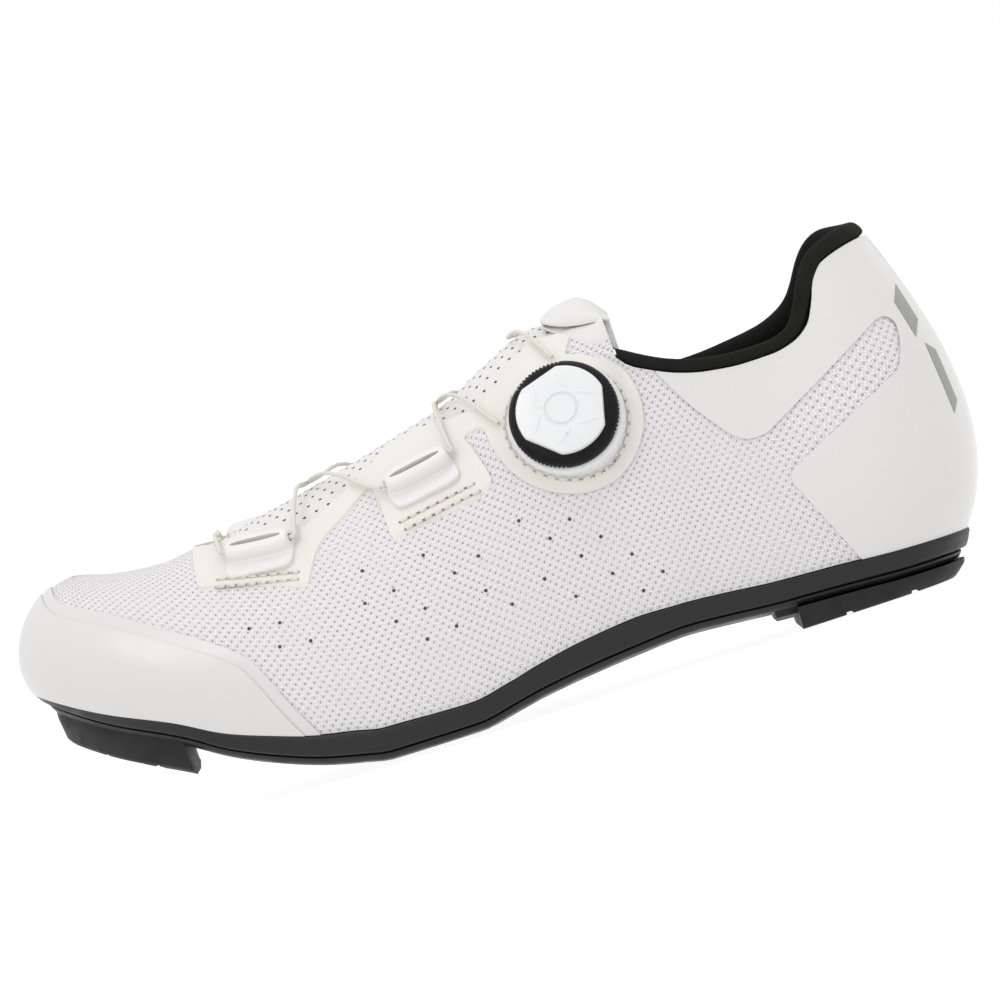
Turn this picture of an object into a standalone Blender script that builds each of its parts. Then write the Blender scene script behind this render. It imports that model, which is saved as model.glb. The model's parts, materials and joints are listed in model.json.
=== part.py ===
"""Road cycling shoe for the left foot, standing empty on its sole.

The toe points along -x, the outer side of the foot is -y, and the floor is z = 0. The origin is the middle of the
heel tread's flat bottom. Every curved piece is cut from one skin, the outside of the upper over its last.
"""

import math
from collections import namedtuple
from functools import lru_cache

import bmesh
import bpy
import numpy as np
from mathutils import Matrix, Vector
from mathutils.bvhtree import BVHTree

# Driving sizes in metres
SOLE_LENGTH = 0.2740
HEEL_END = 0.0310
BALL_WIDTH = 0.0925
INSTEP_HEIGHT = 0.1100
TOE_SPRING = 0.0430
ARCH_HEIGHT = 0.0079
SIDE_HEIGHT = 0.0110
CAMBER = 0.0015
STRIP = 0.0022
TUCK = 0.0035
WALL = 0.0020
FILM = 0.0006
GAP = 0.0003
INSOLE_THICKNESS = 0.0035
TONGUE_THICKNESS = 0.0025
TONGUE_OVERLAP = 0.0090
TAB_THICKNESS, TAB_WIDTH, TAB_RISE = 0.0014, 0.0220, 0.0034
TREAD_THICKNESS, TREAD_GAP = 0.0086, 0.0009
BOLT_HOLE = 0.0050
BOLT_DEPTH = 0.0045
BOLT_LENGTH, BOLT_SPREAD = 0.0465, 0.0365
DIAL_PATCH_RADIUS = 0.0220
HOUSING_RADIUS, HOUSING_HEIGHT = 0.0172, 0.0046
DIAL_RADIUS, DIAL_HEIGHT, DIAL_TEETH = 0.0160, 0.0047, 26
CAP_RADIUS, CAP_HEIGHT = 0.0134, 0.0013
CAP_RECESSES = (-13, 107, 227)
GUIDE_LENGTH, GUIDE_WIDTH, GUIDE_HEIGHT = 0.0205, 0.0078, 0.0058
GUIDE_TUNNEL, GUIDE_TUNNEL_HEIGHT = 0.0024, 0.0034
GUIDE_SLOT_LENGTH, GUIDE_SLOT_WIDTH = 0.0135, 0.0015
LACE_THICKNESS = 0.0012
# Middle line of the lace off the skin: over the tongue and over the film, and how far it stops short of a guide
LACE_LOW, LACE_LIFT = -0.0004, 0.0025
LACE_REST = 0.0012
# Depths under the skin: that of dial and guides before they are trimmed to the film, and that of the trimming solid
SEAT_DEPTH, TRIM_DEPTH = 0.0036, 0.0070
# Heights between which the cutters of the upper run, and how far the throat's and tongue's cutters reach down
FLOOR_CLEAR, ALOFT = -0.010, 0.160
THROAT_LOW, TONGUE_LOW = 0.050, 0.030
# Share of a rib at which the films begin above the sole
FILM_START = 0.009
# Places of the treads as stations, and the grooves across them
HEEL_TREAD_FRONT = 0.799
LIP_FRONT, LIP_THICKNESS = 0.776, 0.0022
TOE_TREAD_BACK = 0.137
TOE_GROOVES = (0.055, 0.105)
GROOVE_WIDTH, GROOVE_DEPTH, GROOVE_REACH = 0.0026, 0.0014, 0.0100

# How finely the skin is divided, per side of the shoe and from the feather line to the crest
SKIN_COLUMNS = 34
SKIN_ROWS = 8

LATERAL, MEDIAL = -1, 1

# The sole from toe (station 0) to heel (station 1). The middle of the underside is spring x TOE_SPRING + arch x
# ARCH_HEIGHT high, the feather line is edge x SIDE_HEIGHT above it, the outline lies at middle +- half, shares of
# BALL_WIDTH, and the foot of the flank tucks in by tuck x TUCK.
SoleRow = namedtuple("SoleRow", "station spring arch edge middle half tuck")
SOLE = [
    SoleRow(0.000, 1.000, 0.00, 0.58, 0.070, 0.300, 0.90),
    SoleRow(0.023, 0.900, 0.00, 0.61, 0.066, 0.318, 0.80),
    SoleRow(0.069, 0.721, 0.00, 0.68, 0.058, 0.352, 0.65),
    SoleRow(0.141, 0.498, 0.00, 0.76, 0.037, 0.402, 0.50),
    SoleRow(0.187, 0.324, 0.00, 0.82, 0.024, 0.430, 0.30),
    SoleRow(0.234, 0.191, 0.00, 0.91, 0.010, 0.455, 0.15),
    SoleRow(0.281, 0.089, 0.00, 0.955, -0.006, 0.477, 0.05),
    SoleRow(0.318, 0.036, 0.00, 0.99, -0.020, 0.490, 0.00),
    SoleRow(0.350, 0.000, 0.00, 0.98, -0.031, 0.498, 0.00),
    SoleRow(0.442, 0.000, 0.00, 0.91, -0.057, 0.478, 0.00),
    SoleRow(0.489, 0.000, 0.28, 0.91, -0.062, 0.447, 0.00),
    SoleRow(0.517, 0.000, 0.47, 0.94, -0.062, 0.428, 0.00),
    SoleRow(0.573, 0.000, 0.72, 1.01, -0.056, 0.392, 0.00),
    SoleRow(0.628, 0.000, 0.89, 1.03, -0.047, 0.360, 0.00),
    SoleRow(0.679, 0.000, 1.00, 0.93, -0.036, 0.340, 0.00),
    SoleRow(0.728, 0.000, 0.90, 0.92, -0.026, 0.325, 0.00),
    SoleRow(0.777, 0.000, 0.76, 0.90, -0.016, 0.316, 0.00),
    SoleRow(0.855, 0.000, 0.63, 0.89, -0.005, 0.312, 0.25),
    SoleRow(0.925, 0.000, 0.50, 0.88, 0.000, 0.306, 0.70),
    SoleRow(1.000, 0.000, 0.44, 0.86, 0.000, 0.295, 1.00),
]
TOE_ROUND, TOE_POWER = 0.160, 2.1
HEEL_ROUND, HEEL_POWER = 0.105, 2.0

# Ribs of the skin, from the heel's back (share 0 of a side's feather line) to the toe's tip (share 1). A rib ends at
# its top station, at across x BALL_WIDTH and top x INSTEP_HEIGHT. It leaves the sole leaning out by lean degrees and
# reaches its top at drop degrees below level, and reach and hold are its two handles, shares of its chord.
RibRow = namedtuple("RibRow", "share station lateral medial top lean_out lean_in reach_out reach_in drop hold")
RIBS = [
    RibRow(0.00, 0.974, 0.000, 0.000, 1.036, 38, 38, 0.36, 0.36, 68, 0.32),
    RibRow(0.05, 0.957, -0.125, 0.125, 1.036, 35, 35, 0.36, 0.36, 69, 0.32),
    RibRow(0.10, 0.929, -0.205, 0.205, 1.036, 31, 31, 0.35, 0.35, 71, 0.34),
    RibRow(0.16, 0.887, -0.250, 0.250, 1.036, 26, 26, 0.34, 0.34, 74, 0.35),
    RibRow(0.22, 0.823, -0.275, 0.275, 1.036, 21, 19, 0.33, 0.33, 77, 0.35),
    RibRow(0.28, 0.759, -0.262, 0.280, 1.036, 17, 14, 0.32, 0.32, 72, 0.35),
    RibRow(0.31, 0.725, -0.200, 0.230, 1.036, 16, 12, 0.32, 0.32, 60, 0.34),
    RibRow(0.35, 0.694, 0.042, 0.042, 0.988, 14, 9, 0.32, 0.33, 10, 0.36),
    RibRow(0.40, 0.624, 0.042, 0.042, 0.986, 12, 7, 0.32, 0.34, 6, 0.36),
    RibRow(0.45, 0.562, 0.045, 0.045, 0.932, 11, 6, 0.32, 0.36, 4, 0.37),
    RibRow(0.50, 0.505, 0.050, 0.050, 0.862, 11, 6, 0.32, 0.38, 3, 0.39),
    RibRow(0.55, 0.449, 0.054, 0.054, 0.824, 12, 7, 0.32, 0.40, 2, 0.41),
    RibRow(0.60, 0.392, 0.058, 0.058, 0.788, 13, 8, 0.31, 0.40, 1, 0.43),
    RibRow(0.65, 0.336, 0.062, 0.062, 0.756, 14, 9, 0.31, 0.40, 0, 0.44),
    RibRow(0.70, 0.281, 0.066, 0.066, 0.728, 15, 10, 0.32, 0.40, 0, 0.45),
    RibRow(0.75, 0.226, 0.068, 0.068, 0.694, 17, 12, 0.34, 0.40, 0, 0.48),
    RibRow(0.80, 0.171, 0.070, 0.070, 0.673, 19, 15, 0.36, 0.40, 0, 0.50),
    RibRow(0.87, 0.113, 0.070, 0.070, 0.689, 22, 20, 0.39, 0.41, 0, 0.49),
    RibRow(0.93, 0.089, 0.070, 0.070, 0.706, 22, 21, 0.39, 0.39, 0, 0.44),
    RibRow(1.00, 0.077, 0.070, 0.070, 0.712, 22, 22, 0.39, 0.39, 0, 0.38),
]

# Outlines on the side view of the upper: stations of the sole and heights as shares of INSTEP_HEIGHT
Corner = namedtuple("Corner", "station height")

# Top edge of the upper from the throat to the heel, for the outer and the inner side of the foot
CollarRow = namedtuple("CollarRow", "station height inner")
COLLAR = [
    CollarRow(0.697, 0.828, 0.810),
    CollarRow(0.706, 0.800, 0.785),
    CollarRow(0.725, 0.771, 0.755),
    CollarRow(0.752, 0.741, 0.732),
    CollarRow(0.783, 0.722, 0.733),
    CollarRow(0.822, 0.713, 0.742),
    CollarRow(0.854, 0.715, 0.753),
    CollarRow(0.877, 0.727, 0.768),
    CollarRow(0.898, 0.759, 0.792),
    CollarRow(0.909, 0.805, 0.812),
    CollarRow(0.919, 0.865, 0.840),
    CollarRow(0.934, 0.903, 0.905),
    CollarRow(0.955, 0.916, 0.949),
    CollarRow(0.993, 0.933, 0.938),
    CollarRow(1.051, 0.936, 0.936),
]
# Half the collar's width, between the places where the two heights hold
COLLAR_HALF = 0.028
# Share of a side's feather line, from the heel's back, under which the collar binding ends
COLLAR_SHARE = 0.322
# Rear edge of the toe cap, from the crest down to the sole
TOE_CAP = [
    Corner(0.0490, 0.764),
    Corner(0.0505, 0.672),
    Corner(0.0620, 0.646),
    Corner(0.0990, 0.601),
    Corner(0.147, 0.530),
    Corner(0.187, 0.465),
    Corner(0.219, 0.410),
    Corner(0.235, 0.374),
    Corner(0.248, 0.313),
    Corner(0.264, 0.218),
    Corner(0.281, 0.141),
    Corner(0.296, 0.055),
]
# Front edge of the heel film, round the knit stripe that runs up into it
HEEL_FILM = [
    Corner(0.731, 0.836),
    Corner(0.732, 0.754),
    Corner(0.759, 0.635),
    Corner(0.787, 0.544),
    Corner(0.801, 0.518),
    Corner(0.822, 0.518),
    Corner(0.971, 0.718),
    Corner(0.982, 0.718),
    Corner(0.990, 0.691),
    Corner(0.987, 0.634),
    Corner(0.977, 0.576),
    Corner(0.836, 0.408),
    Corner(0.832, 0.382),
    Corner(0.877, 0.139),
    Corner(0.892, 0.055),
]

# Half widths on each side of the throat's middle line, shares of BALL_WIDTH: the opening itself
HalfRow = namedtuple("HalfRow", "station outer inner")
THROAT = [
    HalfRow(0.205, 0.150, 0.150),
    HalfRow(0.259, 0.200, 0.190),
    HalfRow(0.303, 0.262, 0.240),
    HalfRow(0.330, 0.342, 0.300),
    HalfRow(0.358, 0.328, 0.290),
    HalfRow(0.385, 0.290, 0.262),
    HalfRow(0.423, 0.228, 0.215),
    HalfRow(0.445, 0.178, 0.175),
    HalfRow(0.474, 0.182, 0.178),
    HalfRow(0.498, 0.226, 0.215),
    HalfRow(0.540, 0.292, 0.255),
    HalfRow(0.569, 0.270, 0.205),
    HalfRow(0.611, 0.203, 0.165),
    HalfRow(0.635, 0.178, 0.160),
    HalfRow(0.657, 0.196, 0.175),
    HalfRow(0.679, 0.268, 0.215),
    HalfRow(0.697, 0.322, 0.235),
    HalfRow(0.730, 0.322, 0.235),
]
# The same for the outer edge of the eyestay film, with a stitched lobe under each guide
EYESTAY = [
    HalfRow(0.2095, 0.020, 0.020),
    HalfRow(0.2044, 0.333, 0.300),
    HalfRow(0.3180, 0.479, 0.370),
    HalfRow(0.3360, 0.424, 0.370),
    HalfRow(0.3500, 0.402, 0.358),
    HalfRow(0.3780, 0.373, 0.335),
    HalfRow(0.4090, 0.327, 0.300),
    HalfRow(0.4139, 0.393, 0.315),
    HalfRow(0.4155, 0.489, 0.345),
    HalfRow(0.5350, 0.453, 0.305),
    HalfRow(0.5250, 0.386, 0.295),
    HalfRow(0.5180, 0.335, 0.290),
    HalfRow(0.5410, 0.345, 0.295),
    HalfRow(0.5467, 0.426, 0.290),
    HalfRow(0.6000, 0.400, 0.275),
    HalfRow(0.6400, 0.300, 0.268),
    HalfRow(0.6620, 0.190, 0.225),
    HalfRow(0.6620, 0.020, 0.020),
]
THROAT_MIDDLE = 0.055
THROAT_ROUND = 0.045

# Lower edge of the tongue on the side view
TONGUE = [
    Corner(0.170, 0.540),
    Corner(0.330, 0.545),
    Corner(0.400, 0.590),
    Corner(0.540, 0.680),
    Corner(0.688, 0.745),
]
# Top of the folded pull tab off the skin, as shares of TAB_RISE
TabRow = namedtuple("TabRow", "station lift")
PULL_TAB = [
    TabRow(0.6280, 0.02),
    TabRow(0.6440, 0.30),
    TabRow(0.6600, 0.78),
    TabRow(0.6710, 1.00),
    TabRow(0.6820, 0.55),
    TabRow(0.6920, 0.00),
    TabRow(0.6975, -0.45),
]

# Lace guides: place beside the throat's middle line, and the slope of their length on the side view in degrees
GuideRow = namedtuple("GuideRow", "name side station half slope")
GUIDES = [
    GuideRow("guide_lateral_front", -1, 0.281, 0.332, -4.5),
    GuideRow("guide_lateral_middle", -1, 0.4624, 0.371, 9.8),
    GuideRow("guide_medial_front", 1, 0.281, 0.262, -2.0),
    GuideRow("guide_medial_middle", 1, 0.4624, 0.252, 10.0),
    GuideRow("guide_medial_rear", 1, 0.595, 0.245, 20.0),
]
# Where the lace passes over the ridge, and where it leaves the dial, as shares of BALL_WIDTH across
PlanRow = namedtuple("PlanRow", "station across")
LACE_FRONT = PlanRow(0.235, 0.030)
LACE_CROSSING_FRONT = PlanRow(0.343, 0.010)
LACE_CROSSING_REAR = PlanRow(0.500, 0.020)
LACE_REAR = PlanRow(0.5916, 0.030)
DIAL_EXIT_UPPER = PlanRow(0.633, -0.218)
DIAL_EXIT_LOWER = PlanRow(0.560, -0.312)


def reader(rows, key, column):
    """Return a smooth function through one column of a table, with no overshoot between its rows."""
    xs = np.array([getattr(row, key) for row in rows], float)
    ys = np.array([getattr(row, column) for row in rows], float)
    steps = np.diff(xs)
    slopes = np.diff(ys) / steps
    tangents = np.zeros_like(ys)
    tangents[0], tangents[-1] = slopes[0], slopes[-1]
    for i in range(1, len(ys) - 1):
        before, after = slopes[i - 1], slopes[i]
        if before * after > 0:
            near, far = 2 * steps[i] + steps[i - 1], steps[i] + 2 * steps[i - 1]
            tangents[i] = (near + far) / (near / before + far / after)

    def value(x):
        x = np.clip(x, xs[0], xs[-1])
        i = np.clip(np.searchsorted(xs, x) - 1, 0, len(steps) - 1)
        t = (x - xs[i]) / steps[i]
        rise = ys[i] * (2 * t**3 - 3 * t**2 + 1) + ys[i + 1] * (3 * t**2 - 2 * t**3)
        return rise + steps[i] * (tangents[i] * (t**3 - 2 * t**2 + t) + tangents[i + 1] * (t**3 - t**2))

    return value


SPRING, ARCH, EDGE, MIDDLE, HALF, TUCKED = (reader(SOLE, "station", c) for c in SoleRow._fields[1:])


def x_of(station):
    return HEEL_END - (1 - station) * SOLE_LENGTH


def station_of(x):
    return 1 - (HEEL_END - x) / SOLE_LENGTH


def underside(station):
    return TOE_SPRING * SPRING(station) + ARCH_HEIGHT * ARCH(station)


def feather(station):
    """Height of the line where upper and sole meet."""
    return underside(station) + SIDE_HEIGHT * EDGE(station)


def closing(share, power):
    return (1 - (1 - np.clip(share, 0, 1)) ** power) ** (1 / power)


def outline(station, side):
    """Sideways place of the feather line, whose ends are round."""
    ends = closing(station / TOE_ROUND, TOE_POWER) * closing((1 - station) / HEEL_ROUND, HEEL_POWER)
    return BALL_WIDTH * (MIDDLE(station) + side * HALF(station) * ends)


@lru_cache(maxsize=None)
def walk(side):
    """Shares of a side's feather line from the heel's back to the toe's tip, and their stations."""
    stations = 0.5 + 0.5 * np.cos(np.linspace(0, math.pi, 721))
    steps = np.hypot(np.diff(x_of(stations)), np.diff(outline(stations, side)))
    lengths = np.concatenate([[0], np.cumsum(steps)])
    return lengths / lengths[-1], stations


def foot_point(share, side, out=0.0):
    """Point of the feather line, moved out of the shoe in plan."""
    shares, stations = walk(side)
    small = 0.004
    low, high = (np.interp(np.clip(share + d, 0, 1), shares, stations) for d in (-small, small))
    u = np.interp(share, shares, stations)
    along = np.array([x_of(high) - x_of(low), outline(high, side) - outline(low, side)])
    if share < small or share > 1 - small:
        along = np.array([0.0, side * (1.0 if share < small else -1.0)])
    normal = np.array([-along[1], along[0]]) * -side
    normal /= np.linalg.norm(normal)
    return np.array([x_of(u) + out * normal[0], outline(u, side) + out * normal[1], feather(u)]), u


RIB = {name: reader(RIBS, "share", name) for name in RibRow._fields[1:]}


def skin_point(share, side, t):
    """Point of the skin on the rib at a share of the feather line, t from 0 at the sole to 1 at the crest."""
    foot, _ = foot_point(share, side)
    across = RIB["lateral" if side == LATERAL else "medial"](share)
    top = np.array([x_of(RIB["station"](share)), BALL_WIDTH * across, INSTEP_HEIGHT * RIB["top"](share)])
    chord = np.linalg.norm(top - foot)
    out = foot - top
    out[2] = 0
    out /= np.linalg.norm(out)
    up = np.array([0.0, 0.0, 1.0])
    lean = math.radians(RIB["lean_out" if side == LATERAL else "lean_in"](share))
    reach = RIB["reach_out" if side == LATERAL else "reach_in"](share) * chord
    drop = math.radians(RIB["drop"](share))
    first = foot + reach * (out * math.sin(lean) + up * math.cos(lean))
    second = top + RIB["hold"](share) * chord * (out * math.cos(drop) - up * math.sin(drop))
    return foot * (1 - t) ** 3 + first * 3 * t * (1 - t) ** 2 + second * 3 * t**2 * (1 - t) + top * t**3


def new_object(name, bm, material, smooth_angle=40):
    """Turn a bmesh into a named object, smooth except at edges sharper than smooth_angle."""
    mesh = bpy.data.meshes.new(name)
    bmesh.ops.recalc_face_normals(bm, faces=bm.faces)
    if bm.calc_volume(signed=True) < 0:
        bmesh.ops.reverse_faces(bm, faces=bm.faces)
    bm.to_mesh(mesh)
    bm.free()
    mesh.shade_smooth()
    mesh.set_sharp_from_angle(angle=math.radians(smooth_angle))
    mesh.materials.append(material)
    obj = bpy.data.objects.new(name, mesh)
    bpy.context.scene.collection.objects.link(obj)
    return obj


def paint(name, colour, roughness, metallic=0.0):
    material = bpy.data.materials.new(name)
    material.use_nodes = True
    shader = material.node_tree.nodes["Principled BSDF"]
    shader.inputs["Base Color"].default_value = (*colour, 1)
    shader.inputs["Roughness"].default_value = roughness
    shader.inputs["Metallic"].default_value = metallic
    return material


def skin_sheet(start=0.0):
    """The skin as one open sheet, from a share of each rib up."""
    bm = bmesh.new()
    for side in (LATERAL, MEDIAL):
        columns = []
        for i in range(SKIN_COLUMNS + 1):
            share = i / SKIN_COLUMNS
            rows = [start + (1 - start) * j / SKIN_ROWS for j in range(SKIN_ROWS + 1)]
            columns.append([bm.verts.new(skin_point(share, side, t)) for t in rows])
        for left, right in zip(columns, columns[1:]):
            for j in range(SKIN_ROWS):
                quad = [left[j], right[j], right[j + 1], left[j + 1]]
                bm.faces.new(quad if side == LATERAL else quad[::-1])
    bmesh.ops.remove_doubles(bm, verts=bm.verts, dist=1e-6)
    bm.normal_update()
    return bm


def shell(outer, inner, start=0.0):
    """A closed layer between two offsets from the skin."""
    bm = skin_sheet(start)
    sheet = list(bm.verts)
    normals = [v.normal.copy() for v in sheet]
    outward = 1 if normals[0].dot(Vector((1, 0, 0))) > 0 else -1
    faces = list(bm.faces)
    rims = [e for e in bm.edges if len(e.link_faces) == 1]
    twin = {v: bm.verts.new(v.co + n * outward * inner) for v, n in zip(sheet, normals)}
    for edge in rims:
        loop = edge.link_loops[0]
        a, b = loop.vert, loop.link_loop_next.vert
        bm.faces.new([b, a, twin[a], twin[b]])
    for face in faces:
        bm.faces.new([twin[v] for v in reversed(face.verts)])
    for v, n in zip(sheet, normals):
        v.co = v.co + n * outward * outer
    bmesh.ops.triangulate(bm, faces=bm.faces)
    return bm


def share_at(station, side):
    shares, stations = walk(side)
    return float(np.interp(-station, -stations, shares))


def spine_point(station):
    """Middle of the sole that the outline point at a station looks back to, inside the round ends."""
    inner = np.clip(station, 0.9 * TOE_ROUND, 1 - 0.9 * HEEL_ROUND)
    return np.array([x_of(inner), BALL_WIDTH * MIDDLE(inner)])


def plate(rows, front=0.0, back=1.0, columns=SKIN_COLUMNS):
    """A closed solid that follows the sole's outline between two stations.

    Each row is a ring: its reach (0 at the spine, 1 at the outline), its offset out of the outline, how much of the
    tuck it takes, and its height as a function of station and reach.
    """
    bm = bmesh.new()
    shares = {}
    for side in (LATERAL, MEDIAL):
        shares[side] = np.linspace(share_at(back, side), share_at(front, side), columns + 1)
    tips = [i for i, open_end in ((0, back < 1), (columns, front > 0)) if not open_end]
    rings = []
    for reach, offset, tucked, height in rows:
        ring = {}
        for side in (LATERAL, MEDIAL):
            for i, share in enumerate(shares[side]):
                if side == MEDIAL and i in tips:
                    ring[side, i] = ring[LATERAL, i]
                    continue
                tuck = TUCK * tucked * float(TUCKED(foot_point(share, side)[1]))
                place, station = foot_point(share, side, offset - tuck)
                spine = spine_point(station)
                x, y = spine + reach * (place[:2] - spine)
                ring[side, i] = bm.verts.new((x, y, height(station_of(x), reach)))
        rings.append(ring)
    for lower, upper in zip(rings, rings[1:]):
        for side in (LATERAL, MEDIAL):
            for i in range(columns):
                bm.faces.new([lower[side, i], lower[side, i + 1], upper[side, i + 1], upper[side, i]])
    for ring in (rings[0], rings[-1]):
        for i in range(columns):
            face = [ring[LATERAL, i], ring[LATERAL, i + 1], ring[MEDIAL, i + 1], ring[MEDIAL, i]]
            bm.faces.new(list(dict.fromkeys(face)))
    for i in (0, columns):
        if i not in tips:
            bm.faces.new([ring[LATERAL, i] for ring in rings] + [ring[MEDIAL, i] for ring in reversed(rings)])
    return bm


def camber(reach):
    """The underside is flat in the middle and lifts towards its edge."""
    return CAMBER * max(0.0, (reach - 0.45) / 0.55) ** 1.5


def under(lift=0.0):
    """Height of the underside, lifted by a given size."""
    return lambda station, reach: float(underside(station)) + camber(reach) + lift


def level(height):
    return lambda station, reach: height


def flank(share):
    """Height on the plate's flank, from the top of its strip (0) to the feather line less the gap (1)."""
    def height(station, reach):
        low = underside(station) + CAMBER + STRIP
        return float(low + share * (feather(station) - GAP - low))
    return height


def cutter(name, bm):
    """A solid that only cuts others, left out of the part."""
    bmesh.ops.triangulate(bm, faces=bm.faces)
    obj = new_object(name, bm, paint(name, (1, 0, 0), 1))
    obj.hide_render = True
    obj.display_type = "WIRE"
    return obj


def cut(obj, tool, operation="DIFFERENCE"):
    modifier = obj.modifiers.new(tool.name, "BOOLEAN")
    modifier.solver = "EXACT"
    modifier.operation = operation
    modifier.object = tool
    return obj


def prism(points, axis, low, high, tilts=None):
    """A closed prism over a polygon: along y over side view points, or along z over plan points.

    Each point of a prism along y may rise by its own tilt towards the inner side of the foot.
    """
    tilts = tilts or [0.0] * len(points)
    bm = bmesh.new()
    ends = []
    for level in (low, high):
        if axis == "y":
            ends.append([bm.verts.new((a, level, b + tilt * level)) for (a, b), tilt in zip(points, tilts)])
        else:
            ends.append([bm.verts.new((a, b, level)) for a, b in points])
    for i in range(len(points)):
        j = (i + 1) % len(points)
        bm.faces.new([ends[0][i], ends[0][j], ends[1][j], ends[1][i]])
    bm.faces.new(ends[0])
    bm.faces.new(ends[1][::-1])
    return bm


def side_points(rows):
    return [(float(x_of(row.station)), row.height * INSTEP_HEIGHT) for row in rows]


def throat_plan(margin=0.0, ahead=0.0, end=THROAT[-1].station):
    """Plan polygon of the throat, widened by a margin and lengthened ahead."""
    first = THROAT[0].station - ahead / SOLE_LENGTH
    stations = first + (end - first) * np.linspace(0, 1, 25) ** 1.3
    edges = []
    for side, column in ((LATERAL, "outer"), (MEDIAL, "inner")):
        half = reader(THROAT, "station", column)
        edge = []
        for u in stations:
            width = (BALL_WIDTH * float(half(u)) + margin) * float(closing((u - first) / THROAT_ROUND, 2))
            edge.append((float(x_of(u)), BALL_WIDTH * THROAT_MIDDLE + side * width))
        edges.append(edge)
    return edges[0] + edges[1][:0:-1]


def half_plan(rows, side):
    """Plan polygon of one side of a table of half widths."""
    halves = [row.outer if side == LATERAL else row.inner for row in rows]
    xs = [float(x_of(row.station)) for row in rows]
    return [(x, BALL_WIDTH * (THROAT_MIDDLE + side * half)) for x, half in zip(xs, halves)]


def turned(bm, seat, axis, along):
    """Place a bmesh whose own z is to lie on axis and whose own x on along, at a seat."""
    z = axis.normalized()
    y = z.cross(along).normalized()
    x = y.cross(z)
    frame = Matrix((x, y, z)).transposed().to_4x4()
    frame.translation = seat
    bmesh.ops.transform(bm, matrix=frame, verts=bm.verts)
    return bm


def turned_rings(rings):
    """A closed solid from rings of plane points, each with its own height, all with the same count."""
    bm = bmesh.new()
    loops = [[bm.verts.new((x, y, z)) for x, y in points] for points, z in rings]
    for lower, upper in zip(loops, loops[1:]):
        for i in range(len(lower)):
            j = (i + 1) % len(lower)
            bm.faces.new([lower[i], lower[j], upper[j], upper[i]])
    bm.faces.new(loops[0][::-1])
    bm.faces.new(loops[-1])
    return bm


def circle(radius, count, wave=lambda angle: 0.0):
    angles = [2 * math.pi * i / count for i in range(count)]
    return [((radius + wave(a)) * math.cos(a), (radius + wave(a)) * math.sin(a)) for a in angles]


def rounded(length, width, count=12, power=0.55):
    """Ring of a plate with round ends, between an ellipse and a rectangle."""
    points = []
    for i in range(count):
        angle = 2 * math.pi * (i + 0.5) / count
        a, b = math.cos(angle), math.sin(angle)
        x, y = math.copysign(abs(a) ** power, a), math.copysign(abs(b) ** power, b)
        points.append((x * length / 2, y * width / 2))
    return points


def tube(points, radius, count=6):
    """A closed round bar along a line of points."""
    bm = bmesh.new()
    loops = []
    for i, point in enumerate(points):
        along = (points[min(i + 1, len(points) - 1)] - points[max(i - 1, 0)]).normalized()
        first = along.cross(Vector((1, 0, 0)) if abs(along.x) < 0.8 else Vector((0, 0, 1))).normalized()
        second = along.cross(first)
        loops.append([bm.verts.new(point + radius * (first * a + second * b)) for a, b in circle(1, count)])
    for lower, upper in zip(loops, loops[1:]):
        for i in range(count):
            j = (i + 1) % count
            bm.faces.new([lower[i], lower[j], upper[j], upper[i]])
    bm.faces.new(loops[0][::-1])
    bm.faces.new(loops[-1])
    return bm


@lru_cache(maxsize=None)
def skin_tree():
    bm = skin_sheet()
    tree = BVHTree.FromBMesh(bm)
    bm.free()
    return tree


def side_seat(x, z, side):
    """Point and outward normal of the skin where a line along y meets it from one side."""
    place, normal, _, _ = skin_tree().ray_cast(Vector((x, side * 0.2, z)), Vector((0, -side, 0)))
    return place, normal if normal.y * side > 0 else -normal


def above_seat(x, y):
    """Point and outward normal of the skin right below a plan point."""
    place, normal, _, _ = skin_tree().ray_cast(Vector((x, y, 0.2)), Vector((0, 0, -1)))
    return place, normal if normal.z > 0 else -normal


def outsole(material):
    """Stiff moulded plate: a wrapped side that flares to a ridge, a groove below it and a thin lower strip."""
    strip = [(0.45, 0, 1, under()), (0.8, 0, 1, under()), (1, -0.0012, 1, under()),
             (1, 0.0002, 1, under(0.8 * STRIP)), (1, -0.0006, 1, under(STRIP))]
    side = [(1, 0.0013, 0.9, flank(0.06)), (1, 0.0014, 0.5, flank(0.40)), (1, 0.0010, 0.1, flank(0.90)),
            (1, 0.0004, 0, flank(1)), (0.6, 0, 0, flank(1))]
    obj = new_object("outsole", plate(strip + side), material, 35)
    middle = BALL_WIDTH * float(MIDDLE(0.40))
    rear = x_of(0.435)
    holes = [(rear - BOLT_LENGTH, middle), (rear, middle - BOLT_SPREAD / 2), (rear, middle + BOLT_SPREAD / 2)]
    for i, (x, y) in enumerate(holes):
        ring = [(x + a, y + b) for a, b in circle(BOLT_HOLE / 2, 16)]
        top = float(underside(station_of(x))) + BOLT_DEPTH
        cut(obj, cutter(f"bolt_hole_{i}", prism(ring, "z", -0.01, top)))
    return obj


def groove(name, x, z):
    """A groove across a tread, cut up from its flat side."""
    foot, top = GROOVE_WIDTH / 2 + 0.0006, GROOVE_WIDTH / 2 - 0.0004
    points = [(x - foot, z - 0.002), (x + foot, z - 0.002), (x + top, z + GROOVE_DEPTH), (x - top, z + GROOVE_DEPTH)]
    return cutter(name, prism(points, "y", -BALL_WIDTH, BALL_WIDTH))


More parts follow.
